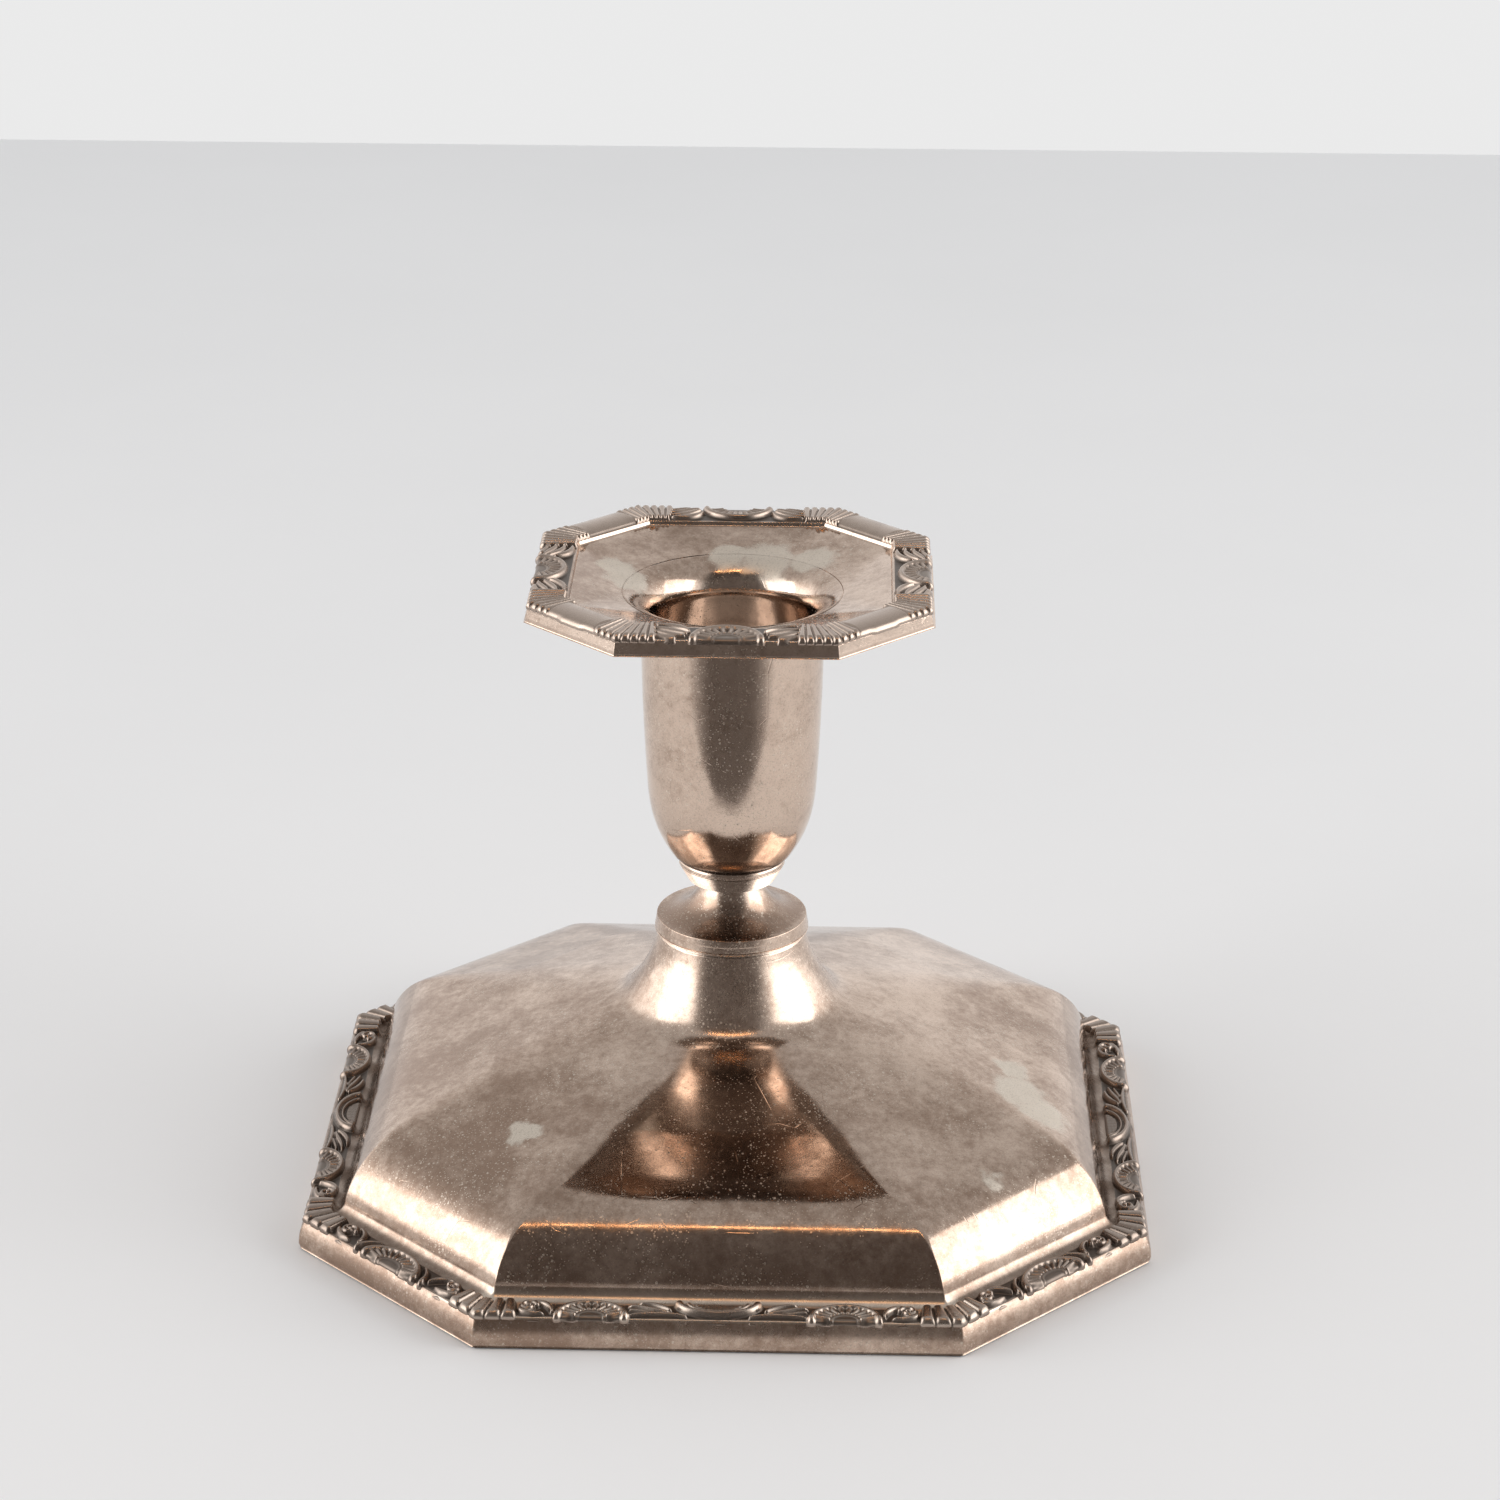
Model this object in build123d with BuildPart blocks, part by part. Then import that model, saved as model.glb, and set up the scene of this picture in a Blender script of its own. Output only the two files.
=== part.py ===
"""A silver candlestick: weighted base, turned knop, spun socket cup and lift-out nozzle with drip pan."""
from build123d import *
import os
from math import asin, atan2, cos, degrees, hypot, radians, sin, sqrt, tan

os.makedirs("parts", exist_ok=True)

# All lengths are in millimetres. +Z is up, the origin is the centre of the underside,
# and -Y is the front. Every outline of the base and the pan is a square with canted corners.

# Sheet metal and fits
sheet = 0.9
cup_wall = 0.6
pan_wall = 0.8
joint_gap = 0.05
fill_gap = 0.1
sleeve_gap = 0.25
seat_gap = 0.05

# Base: felt, closing plate and apron
base_width = 120.0
base_flat = 66.2
felt_thickness = 0.9
felt_proud = 0.2
plate_thickness = 1.0
apron_break_height = 2.4
apron_lean = 0.95
apron_corner = 0.8
ledge_height = 4.6

# Base: pressed dome, with a channel between it and the border, a panel and a waisted neck
channel_width = 1.25
shoulder_lean = 1.0
shoulder_height = 12.1
shoulder_radius = 13.0
panel_bulge = 2.5
crown_radius = 110.0
neck_top_radius = 10.6
neck_top_height = 36.0
neck_waist_flare = 1.0
neck_waist_drop = 4.6
neck_foot_flare = 4.2
neck_foot_drop = 10.8
neck_foot_fillet = 6.4
neck_straight = 0.45
neck_flange = 1.2
ridge_radius = 0.5
ridge_fade = 2.0
round_share = 0.98
share_fade = 1.2
dome_stations = 22

# Knop between the base and the socket
lip_radius = 11.1
lip_thickness = 0.55
band_radius = 10.95
dish_radius = 10.8
dish_height = 2.45
cove_radius = 6.5
cove_middle_angle = 45.0
knop_height = 8.1

# Foot ring under the socket
ring_radius = 7.6
ring_height = 2.5
ring_under_radius = 5.9
ring_round = 1.3
ring_neck_radius = 7.25
ring_top_radius = 8.3
ring_cone_height = 1.5

# Socket cup
cup_foot_radius = 8.5
cup_belly_height = 10.6
cup_swell_radius = 392.0
cup_height = 36.6
cup_floor = 1.2
belly_angle = 55.0
collar_overhang = 0.6

# Nozzle and drip pan
bore_radius = 11.3
bore_depth = 18.0
sleeve_wall = 0.5
sleeve_stop = 0.8
sleeve_stop_radius = 6.0
mouth_width = 4.0
mouth_lead_in = 0.9
collar_height = 2.95
pan_slope = 16.0
flange_width = 1.4
flange_thickness = 0.7
pan_width = 57.0
pan_flat = 30.6
pan_apron_height = 2.3
pan_apron_lean = 0.9
pan_apron_drop = 0.3
pan_corner = 0.3

# Borders: mitred strips with fans of gadroons at their ends, shells, leaves and scrolls
base_strip_width = 3.85
pan_strip_width = 5.15
strip_ground = 0.45
strip_height = 1.3
fan_depth = 12.1
lobe_sink = 0.2
gadroon_fill = 0.93
base_gadroon_pitch = 11.0
base_gadroon_count = 3
pan_gadroon_pitch = 6.0
pan_side_gadroon_count = 5
pan_canted_gadroon_count = 3
shell_margin = 0.15
shell_rim_width = 0.95
shell_rim_bevel = 0.3
shell_rim_rise = 0.65
shell_dish_rise = 0.15
shell_hub_rise = 0.45
shell_hub_share = 0.35
middle_shell_half_width = 6.2
side_shell_half_width = 5.1
canted_shell_half_width = 5.9
leaf_gap = 0.5
leaf_start_radius = 0.35
leaf_end_radius = 0.8
scroll_room = 4.9
scroll_inset = 1.7
scroll_radius = 1.05
scroll_wire_width = 0.95
scroll_wire_bevel = 0.25
scroll_wire_rise = 0.5
scroll_start_angle = -50.0
scroll_turn = 230.0
pan_band_radius = 1.6
pan_band_sink = 1.0

# Tie rod, nuts and washer
rod_radius = 3.0
rod_bottom = 16.0
thread_gap = 0.05
rod_gap = 0.1
nut_across_flats = 10.0
nut_thickness = 5.0
rod_projection = 0.8
washer_radius = 8.0
washer_thickness = 1.5
filling_headroom = 0.4

regular_share = tan(radians(22.5))


def set_in(outline, inset):
    """A canted square, as half width and half flat, set in by the same distance on all eight sides."""
    half_width, half_flat = outline
    return half_width - inset, half_flat - inset * regular_share


# Sizes of the base that follow
base_outline = (base_width / 2, base_flat / 2)
ledge_outline = set_in(base_outline, apron_lean)
cavity_outline = set_in(ledge_outline, sheet)
filling_outline = set_in(cavity_outline, fill_gap)
dome_foot_outline = set_in(ledge_outline, joint_gap + base_strip_width + channel_width)
dome_foot_half_width, dome_foot_half_flat = dome_foot_outline
dome_foot_share = dome_foot_half_flat / dome_foot_half_width
ledge_underside = ledge_height - sheet
plate_bottom = felt_thickness
plate_top = plate_bottom + plate_thickness
neck_waist_radius = neck_top_radius + neck_waist_flare
neck_waist_height = neck_top_height - neck_waist_drop
neck_foot_radius = neck_waist_radius + neck_foot_flare
neck_foot_height = neck_top_height - neck_foot_drop
shoulder_half_width = dome_foot_half_width - shoulder_lean
crown_half_width = (shoulder_half_width + neck_foot_radius) / 2
crown_height = (shoulder_height + neck_foot_height) / 2 + panel_bulge
panel_slope = atan2(neck_foot_height - crown_height, crown_half_width - neck_foot_radius)
neck_slope = atan2(neck_waist_height - neck_foot_height, neck_foot_flare)
waist_slope = atan2(neck_waist_drop, neck_waist_flare)
neck_leg = hypot(neck_waist_height - neck_foot_height, neck_foot_flare)
waist_leg = hypot(neck_waist_drop, neck_waist_flare)
neck_foot_reach = neck_foot_fillet * tan((neck_slope - panel_slope) / 2)
waist_reach = min(waist_leg, neck_leg - neck_foot_reach) - neck_straight
neck_waist_fillet = waist_reach / tan((waist_slope - neck_slope) / 2)

# Sizes of the stem and the cup that follow
knop_top = neck_top_height + knop_height
ring_top = knop_top + ring_height + ring_cone_height
cup_bottom = ring_top
cup_rim = cup_bottom + cup_height
lip_start = lip_radius - lip_thickness / 2
dish_rim = neck_top_height + dish_height
band_middle = neck_top_height + (lip_thickness + dish_height) / 2
cove_centre = dish_rim + cove_radius
cove_middle_radius = dish_radius - cove_radius * sin(radians(cove_middle_angle))
cove_middle_height = cove_centre - cove_radius * cos(radians(cove_middle_angle))
cove_end_radius = dish_radius - sqrt(cove_radius**2 - (cove_centre - knop_top) ** 2)
sleeve_radius = bore_radius + sleeve_wall
nozzle_seat = cup_rim + seat_gap
pan_mouth_height = nozzle_seat + collar_height
sleeve_bottom = pan_mouth_height - bore_depth
cup_belly = cup_bottom + cup_belly_height
cup_lean = asin((cup_rim - cup_belly) / cup_swell_radius)
swell_at_sleeve = cup_swell_radius - sqrt(cup_swell_radius**2 - (cup_rim - sleeve_bottom) ** 2)
cup_bore_radius = sleeve_radius + sleeve_gap + swell_at_sleeve
cup_rim_radius = cup_bore_radius + cup_wall
cup_belly_radius = cup_rim_radius - cup_swell_radius * (1 - cos(cup_lean))
cup_floor_radius = cup_foot_radius - cup_wall + cup_floor / tan(radians(belly_angle))
belly_start = (cos(radians(belly_angle)), sin(radians(belly_angle)))
belly_end = (sin(cup_lean), cos(cup_lean))

# Sizes of the nozzle and the pan that follow
collar_radius = cup_rim_radius + collar_overhang
bore_floor = sleeve_bottom + sleeve_stop
pan_mouth_radius = bore_radius + mouth_width
nozzle_lip_radius = pan_mouth_radius - joint_gap
slope_rise = tan(radians(pan_slope))
throat_start_radius = nozzle_lip_radius - mouth_lead_in
throat_radius = (throat_start_radius - bore_radius) / (1 - sin(radians(pan_slope)))
throat_start = (throat_start_radius, pan_mouth_height - mouth_lead_in * slope_rise)
throat_end = (bore_radius, throat_start[1] - throat_radius * cos(radians(pan_slope)))
flange_top = pan_mouth_height - pan_wall - joint_gap
flange_bottom = flange_top - flange_thickness
flange_radius = pan_mouth_radius + flange_width
pan_outline = (pan_width / 2, pan_flat / 2)
pan_ledge_outline = set_in(pan_outline, pan_apron_lean)
pan_floor_outline = set_in(pan_ledge_outline, joint_gap + pan_strip_width)
pan_floor_outside = set_in(pan_floor_outline, -pan_wall)
pan_mouth_outline = (pan_mouth_radius, pan_mouth_radius * regular_share)
pan_apron_bottom = pan_mouth_height + pan_apron_drop
pan_ledge_height = pan_apron_bottom + pan_apron_height
pan_ledge_underside = pan_ledge_height - pan_wall
pan_floor_height = pan_mouth_height + (pan_floor_outline[0] - pan_mouth_radius) * slope_rise
pan_floor_underside = pan_floor_height - pan_wall + pan_wall * slope_rise
mouth_corner = round_share * pan_mouth_radius

# Sizes of the rod and its nuts that follow
washer_top = neck_top_height - neck_flange
neck_nut_top = washer_top - washer_thickness
neck_nut_bottom = neck_nut_top - nut_thickness
filling_top = neck_nut_bottom - filling_headroom
socket_nut_bottom = cup_bottom + cup_floor
rod_top = socket_nut_bottom + nut_thickness + rod_projection
rod_hole_radius = rod_radius + rod_gap


def canted_outline(height, outline, corner):
    """A square with canted, rounded corners at a height: outline is its half width and half flat."""
    half_width, half_flat = outline
    with BuildSketch(Plane.XY.offset(height)) as section:
        Polygon(
            (-half_flat, -half_width),
            (half_flat, -half_width),
            (half_width, -half_flat),
            (half_width, half_flat),
            (half_flat, half_width),
            (-half_flat, half_width),
            (-half_width, half_flat),
            (-half_width, -half_flat),
            align=None,
        )
        fillet(section.vertices(), corner)
    return section.sketch


def dome_profile():
    """The dome's profile across its flats, from the ledge's underside to the top of the neck."""
    draft = shoulder_lean / (shoulder_height - ledge_height)
    with BuildLine() as profile:
        FilletPolyline(
            (dome_foot_half_width + draft * sheet, ledge_underside),
            (shoulder_half_width, shoulder_height),
            (crown_half_width, crown_height),
            (neck_foot_radius, neck_foot_height),
            (neck_waist_radius, neck_waist_height),
            (neck_top_radius, neck_top_height),
            radius=[shoulder_radius, crown_radius, neck_foot_fillet, neck_waist_fillet],
        )
    return profile.wires()[0]


def dome_sections(inset):
    """Outlines up the dome, set in by a wall: canted squares that turn into circles at the neck."""
    profile = dome_profile()
    sections = []
    for station in range(dome_stations + 1):
        place = station / dome_stations
        point = profile.position_at(place)
        along = profile.tangent_at(place)
        half_width = point.X - inset * along.Y
        height = point.Y + inset * along.X
        rise = (dome_foot_half_width - point.X) / (dome_foot_half_width - neck_foot_radius)
        rise = min(max(rise, 0.0), 1.0)
        share = dome_foot_share + (regular_share - dome_foot_share) * rise**share_fade
        corner = ridge_radius + (round_share * half_width - ridge_radius) * rise**ridge_fade
        sections.append(canted_outline(height, (half_width, half_width * share), corner))
    return sections


def save(piece, name):
    """Label a finished piece and write it to its own file."""
    piece.label = name
    export_step(piece, f"parts/{name}.step")


# Base shell: dome, neck, ledge and apron in one pressing
apron_sections = [
    canted_outline(felt_proud, base_outline, apron_corner),
    canted_outline(apron_break_height, base_outline, apron_corner),
    canted_outline(ledge_height, ledge_outline, apron_corner),
]
with BuildPart() as base_shell:
    loft(sections=dome_sections(0.0))
    loft(sections=apron_sections, ruled=True)
    loft(sections=dome_sections(sheet), mode=Mode.SUBTRACT)
    extrude(
        canted_outline(felt_proud, cavity_outline, apron_corner),
        amount=ledge_underside - felt_proud,
        mode=Mode.SUBTRACT,
    )
    with BuildSketch(Plane.XY.offset(washer_top)):
        Circle(neck_top_radius - sheet / 2)
    extrude(amount=neck_flange)
    with BuildSketch(Plane.XY.offset(washer_top)):
        Circle(rod_hole_radius)
    extrude(amount=neck_flange, mode=Mode.SUBTRACT)
save(base_shell.part, "base_shell")

# Filling: poured inside the shell, up to the nut in the neck
with BuildPart() as base_filling:
    loft(sections=dome_sections(sheet + fill_gap))
    extrude(
        canted_outline(plate_top, filling_outline, apron_corner),
        amount=ledge_underside - fill_gap - plate_top,
    )
    with BuildSketch(Plane.XY.offset(filling_top)):
        Circle(shoulder_half_width)
    extrude(amount=neck_top_height, mode=Mode.SUBTRACT)
    with BuildSketch(Plane.XY.offset(rod_bottom)):
        Circle(rod_hole_radius)
    extrude(amount=filling_top - rod_bottom, mode=Mode.SUBTRACT)
save(base_filling.part, "base_filling")

# Closing plate and felt pad under the filling
with BuildPart() as base_plate:
    extrude(canted_outline(plate_bottom, filling_outline, apron_corner), amount=plate_thickness)
save(base_plate.part, "base_plate")

with BuildPart() as felt_pad:
    extrude(canted_outline(0.0, filling_outline, apron_corner), amount=felt_thickness)
save(felt_pad.part, "felt_pad")

# Knop: a turned dish on a polished band, with a lip over the neck
with BuildPart() as stem_knop:
    with BuildSketch(Plane.XZ):
        with BuildLine():
            lip_under = Line((rod_hole_radius, neck_top_height), (lip_start, neck_top_height))
            lip_edge = ThreePointArc(
                lip_under @ 1,
                (lip_radius, neck_top_height + lip_thickness / 2),
                (lip_start, neck_top_height + lip_thickness),
            )
            band = ThreePointArc(lip_edge @ 1, (band_radius, band_middle), (dish_radius, dish_rim))
            cove = ThreePointArc(
                band @ 1,
                (cove_middle_radius, cove_middle_height),
                (cove_end_radius, knop_top),
            )
            knop_end = Line(cove @ 1, (rod_hole_radius, knop_top))
            Line(knop_end @ 1, lip_under @ 0)
        make_face()
    revolve(axis=Axis.Z)
save(stem_knop.part, "stem_knop")

# Foot ring: a turned moulding with a rounded underside and a cone up to the cup
with BuildPart() as socket_foot_ring:
    with BuildSketch(Plane.XZ):
        with BuildLine():
            under = Line((rod_hole_radius, knop_top), (ring_under_radius, knop_top))
            round_under = Spline(
                under @ 1,
                (ring_radius, knop_top + ring_round),
                tangents=((1, 0), (0, 1)),
            )
            side = Line(round_under @ 1, (ring_radius, knop_top + ring_height))
            shelf = Line(side @ 1, (ring_neck_radius, knop_top + ring_height))
            cone = Line(shelf @ 1, (ring_top_radius, ring_top))
            top = Line(cone @ 1, (rod_hole_radius, ring_top))
            Line(top @ 1, under @ 0)
        make_face()
    revolve(axis=Axis.Z)
save(socket_foot_ring.part, "socket_foot_ring")

# Socket cup: an urn spun from sheet, with a flat floor for the tie rod's nut
with BuildPart() as socket_cup:
    with BuildSketch(Plane.XZ):
        with BuildLine():
            foot = Line((0, cup_bottom), (cup_foot_radius, cup_bottom))
            belly = Spline(
                foot @ 1,
                (cup_belly_radius, cup_belly),
                tangents=[belly_start, belly_end],
            )
            wall = JernArc(belly @ 1, belly % 1, cup_swell_radius, degrees(cup_lean))
            rim = Line(wall @ 1, (0, cup_rim))
            Line(rim @ 1, foot @ 0)
        make_face()
    revolve(axis=Axis.Z)
    with BuildSketch(Plane.XZ):
        with BuildLine():
            floor = Line((0, cup_bottom + cup_floor), (cup_floor_radius, cup_bottom + cup_floor))
            inner_belly = Spline(
                floor @ 1,
                (cup_belly_radius - cup_wall, cup_belly),
                tangents=[belly_start, belly_end],
            )
            inner_wall = JernArc(inner_belly @ 1, inner_belly % 1, cup_swell_radius, degrees(cup_lean))
            mouth = Line(inner_wall @ 1, (0, cup_rim))
            Line(mouth @ 1, floor @ 0)
        make_face()
    revolve(axis=Axis.Z, mode=Mode.SUBTRACT)
    with BuildSketch(Plane.XY.offset(cup_bottom)):
        Circle(rod_hole_radius)
    extrude(amount=cup_floor, mode=Mode.SUBTRACT)
save(socket_cup.part, "socket_cup")

# Nozzle: a turned sleeve for the candle, whose collar sits on the cup's rim and carries the pan
with BuildPart() as nozzle_sleeve:
    with BuildSketch(Plane.XZ):
        with BuildLine():
            stop = Line((sleeve_stop_radius, sleeve_bottom), (sleeve_radius, sleeve_bottom))
            sleeve = Line(stop @ 1, (sleeve_radius, nozzle_seat))
            seat = Line(sleeve @ 1, (collar_radius, nozzle_seat))
            collar = Line(seat @ 1, (collar_radius, flange_bottom))
            flange_under = Line(collar @ 1, (flange_radius, flange_bottom))
            flange_edge = Line(flange_under @ 1, (flange_radius, flange_top))
            flange_over = Line(flange_edge @ 1, (nozzle_lip_radius, flange_top))
            lip = Line(flange_over @ 1, (nozzle_lip_radius, pan_mouth_height))
            lead_in = Line(lip @ 1, throat_start)
            throat = TangentArc(throat_start, throat_end, tangent=lead_in % 1)
            bore = Line(throat @ 1, (bore_radius, bore_floor))
            shelf_top = Line(bore @ 1, (sleeve_stop_radius, bore_floor))
            Line(shelf_top @ 1, stop @ 0)
        make_face()
    revolve(axis=Axis.Z)
save(nozzle_sleeve.part, "nozzle_sleeve")

# Drip pan: canted apron, ledge for the ornament and a floor that falls to the round mouth
with BuildPart() as drip_pan:
    loft(
        sections=[
            canted_outline(pan_apron_bottom, pan_outline, pan_corner),
            canted_outline(pan_ledge_height, pan_ledge_outline, pan_corner),
        ]
    )
    loft(
        sections=[
            canted_outline(pan_apron_bottom, set_in(pan_outline, pan_wall), pan_corner),
            canted_outline(pan_ledge_underside, set_in(pan_ledge_outline, pan_wall), pan_corner),
        ],
        mode=Mode.SUBTRACT,
    )
    loft(
        sections=[
            canted_outline(pan_mouth_height - pan_wall, pan_mouth_outline, mouth_corner),
            canted_outline(pan_floor_underside, pan_floor_outside, pan_corner),
        ]
    )
    extrude(
        canted_outline(pan_floor_underside, pan_floor_outside, pan_corner),
        amount=pan_ledge_height - pan_floor_underside,
    )
    loft(
        sections=[
            canted_outline(pan_mouth_height, pan_mouth_outline, mouth_corner),
            canted_outline(pan_floor_height, pan_floor_outline, pan_corner),
        ],
        mode=Mode.SUBTRACT,
    )
    extrude(
        canted_outline(pan_floor_height, pan_floor_outline, pan_corner),
        amount=pan_ledge_height - pan_floor_height,
        mode=Mode.SUBTRACT,
    )
    with BuildSketch(Plane.XY.offset(pan_mouth_height - pan_wall)):
        Circle(pan_mouth_radius)
    extrude(amount=pan_wall, mode=Mode.SUBTRACT)
save(drip_pan.part, "drip_pan")


def lobe(start, end, start_radius, end_radius):
    """A half-round lobe that widens from its start to the round tip at its end."""
    ahead = Vector(end) - Vector(start)
    upright = Plane(origin=start, x_dir=ahead, z_dir=ahead.cross(Vector(0, 0, 1)))
    with BuildPart() as bar:
        with BuildSketch(upright):
            with BuildLine():
                butt = Line((0, 0), (0, start_radius))
                flank = Line(butt @ 1, (ahead.length - end_radius, end_radius))
                tip = RadiusArc(flank @ 1, (ahead.length, 0), end_radius)
                Line(tip @ 1, butt @ 0)
            make_face()
        revolve(axis=Axis(origin=start, direction=ahead))
    return bar.part


def shell(x, edge, toward, ground, half_width, depth):
    """A scallop whose flat side lies on a strip's edge: a bevelled rim, a dished field and a hub."""
    radius = (half_width**2 / depth + depth) / 2
    centre = (x, edge - toward * (radius - depth), ground)
    hub_radius = radius - depth * (1 - shell_hub_share)
    with BuildPart() as scallop:
        with BuildSketch(Plane(origin=centre, x_dir=(1, 0, 0), z_dir=(0, -1, 0))):
            Polygon(
                (0, 0),
                (radius, 0),
                (radius, shell_dish_rise),
                (radius - shell_rim_bevel, shell_rim_rise),
                (radius - shell_rim_width + shell_rim_bevel, shell_rim_rise),
                (radius - shell_rim_width, shell_dish_rise),
                (hub_radius, shell_hub_rise),
                (0, shell_hub_rise),
                align=None,
            )
        revolve(axis=Axis(origin=centre, direction=(0, 0, 1)))
    return scallop.part


def scroll(x, y, ground):
    """A bevelled wire that curls round a centre."""
    angle = radians(scroll_start_angle)
    spoke = Vector(cos(angle), sin(angle), 0)
    half_width = scroll_wire_width / 2
    with BuildPart() as wire:
        with BuildSketch(Plane(origin=(x, y, ground), x_dir=spoke, z_dir=spoke.cross(Vector(0, 0, 1)))):
            Polygon(
                (scroll_radius - half_width, 0),
                (scroll_radius + half_width, 0),
                (scroll_radius + half_width - scroll_wire_bevel, scroll_wire_rise),
                (scroll_radius - half_width + scroll_wire_bevel, scroll_wire_rise),
                align=None,
            )
        revolve(axis=Axis(origin=(x, y, ground), direction=(0, 0, 1)), revolution_arc=scroll_turn)
    return wire.part


def gadroon_fan(corner_x, edge, ground, width, pitch, count):
    """The lobes of a corner's fan that lie on one strip: the first one is cut by the mitre."""
    mitre = radians(22.5)
    focus_x = corner_x - fan_depth * sin(mitre)
    focus_gap = fan_depth * cos(mitre)
    spread = tan(radians(pitch / 2)) * gadroon_fill
    lobes = []
    for number in range(count):
        turn = mitre - radians(pitch * number)
        near = (focus_gap - width) / cos(turn)
        far = focus_gap / cos(turn)
        start = (focus_x + near * sin(turn), edge + width, ground - lobe_sink)
        end = (focus_x + far * sin(turn), edge, ground - lobe_sink)
        lobes.append(lobe(start, end, near * spread, far * spread / (1 + spread)))
    return lobes


def fan_width(pitch, count):
    """How far a corner's fan reaches along a strip's outer edge."""
    mitre = 22.5
    last_edge = radians(pitch * (count - 0.5) - mitre)
    return fan_depth * (sin(radians(mitre)) + cos(radians(mitre)) * tan(last_edge))


def leaf(left, right, edge, ground, width):
    """A leaf that rises from the outer edge to the inner one, clear of its neighbours at both ends."""
    start = (left + leaf_gap, edge + leaf_end_radius, ground - lobe_sink)
    end = (right - leaf_gap, edge + width - leaf_end_radius, ground - lobe_sink)
    return lobe(start, end, leaf_start_radius, leaf_end_radius)


def base_side_motifs(free_half, edge, ground, width):
    """The middle shell of a long side of the base, and the leaf, shell and scroll on its right."""
    depth = width - shell_margin
    place = free_half - scroll_room - side_shell_half_width
    return shell(0, edge + width, -1, ground, middle_shell_half_width, depth), [
        leaf(middle_shell_half_width, place - side_shell_half_width, edge, ground, width),
        shell(place, edge, 1, ground, side_shell_half_width, depth),
        scroll(free_half - scroll_inset, edge + width - scroll_inset, ground),
    ]


def base_canted_motifs(free_half, edge, ground, width):
    """The shell of a canted side of the base, and the leaf and scroll on its right."""
    depth = width - shell_margin
    return shell(0, edge, 1, ground, canted_shell_half_width, depth), [
        leaf(canted_shell_half_width, free_half - 2 * scroll_inset, edge, ground, width),
        scroll(free_half - scroll_inset, edge + width - scroll_inset, ground),
    ]


def pan_side_motifs(free_half, edge, ground, width):
    """The shell of a long side of the pan, and the leaf on its right."""
    depth = width - shell_margin
    return shell(0, edge, 1, ground, side_shell_half_width, depth), [
        leaf(side_shell_half_width, free_half, edge, ground, width),
    ]


def pan_canted_motifs(free_half, edge, ground, width):
    """The plain band of a canted side of the pan."""
    left, right = [(end * free_half, edge + width / 2, ground - pan_band_sink) for end in (-1, 1)]
    return lobe(left, right, pan_band_radius, pan_band_radius), []


def ornament_strip(height, reach, half_length, width, pitch, count, motifs):
    """One strip in its place at the front: ornament on a thin ground, cut to the mitres at both ends."""
    edge = -reach
    ground = height + strip_ground
    middle, beside = motifs(half_length - fan_width(pitch, count), edge, ground, width)
    fan = gadroon_fan(half_length, edge, ground, width, pitch, count)
    with BuildSketch(Plane.XY.offset(height)) as blank:
        Polygon(
            (-half_length, edge),
            (half_length, edge),
            (half_length - width * regular_share, edge + width),
            (width * regular_share - half_length, edge + width),
            align=None,
        )
        offset(amount=-joint_gap / 2)
    with BuildPart() as right_half:
        add(beside + fan)
    with BuildPart() as strip:
        extrude(blank.sketch, amount=strip_ground)
        add([middle, right_half.part, mirror(right_half.part, about=Plane.YZ)])
        extrude(blank.sketch, amount=strip_height, mode=Mode.INTERSECT)
    return strip.part


def border(name, height, outline, width, pitch, side_count, side_motifs, canted_count, canted_motifs):
    """Eight strips round a ledge: four for the long sides and four for the canted ones."""
    half_width, half_flat = outline
    canted_reach = (half_width + half_flat) / sqrt(2)
    canted_half_length = (half_width - half_flat) / sqrt(2)
    strips = [
        ornament_strip(height, half_width, half_flat, width, pitch, side_count, side_motifs),
        ornament_strip(height, canted_reach, canted_half_length, width, pitch, canted_count, canted_motifs),
    ]
    for number, side in enumerate(side_names):
        save(strips[number % 2].rotate(Axis.Z, 45 * number), f"{name}_{side}")


side_names = ["front", "front_right", "right", "back_right", "back", "back_left", "left", "front_left"]
border(
    "base_border",
    ledge_height,
    set_in(ledge_outline, joint_gap),
    base_strip_width,
    base_gadroon_pitch,
    base_gadroon_count,
    base_side_motifs,
    base_gadroon_count,
    base_canted_motifs,
)
border(
    "pan_border",
    pan_ledge_height,
    set_in(pan_ledge_outline, joint_gap),
    pan_strip_width,
    pan_gadroon_pitch,
    pan_side_gadroon_count,
    pan_side_motifs,
    pan_canted_gadroon_count,
    pan_canted_motifs,
)

# Tie rod with its nuts and washer: it clamps the cup, the ring and the knop to the neck
with BuildPart() as tie_rod:
    with BuildSketch(Plane.XY.offset(rod_bottom)):
        Circle(rod_radius)
    extrude(amount=rod_top - rod_bottom)
save(tie_rod.part, "tie_rod")

for nut_name, nut_bottom in (("socket_nut", socket_nut_bottom), ("neck_nut", neck_nut_bottom)):
    with BuildPart() as nut:
        with BuildSketch(Plane.XY.offset(nut_bottom)):
            RegularPolygon(radius=nut_across_flats / 2, side_count=6, major_radius=False)
            Circle(rod_radius + thread_gap, mode=Mode.SUBTRACT)
        extrude(amount=nut_thickness)
    save(nut.part, nut_name)

with BuildPart() as neck_washer:
    with BuildSketch(Plane.XY.offset(neck_nut_top)):
        Circle(washer_radius)
        Circle(rod_hole_radius, mode=Mode.SUBTRACT)
    extrude(amount=washer_thickness)
save(neck_washer.part, "neck_washer")
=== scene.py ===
"""Silver candlestick add-on: dresses the packed candlestick with tarnished plate and chased borders.

Every size is in metres, in the frame of the packed model: +Z up, the origin under the middle of
the base and -Y to the front. Outlines of the base and the pan are squares with canted corners.
"""

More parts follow.
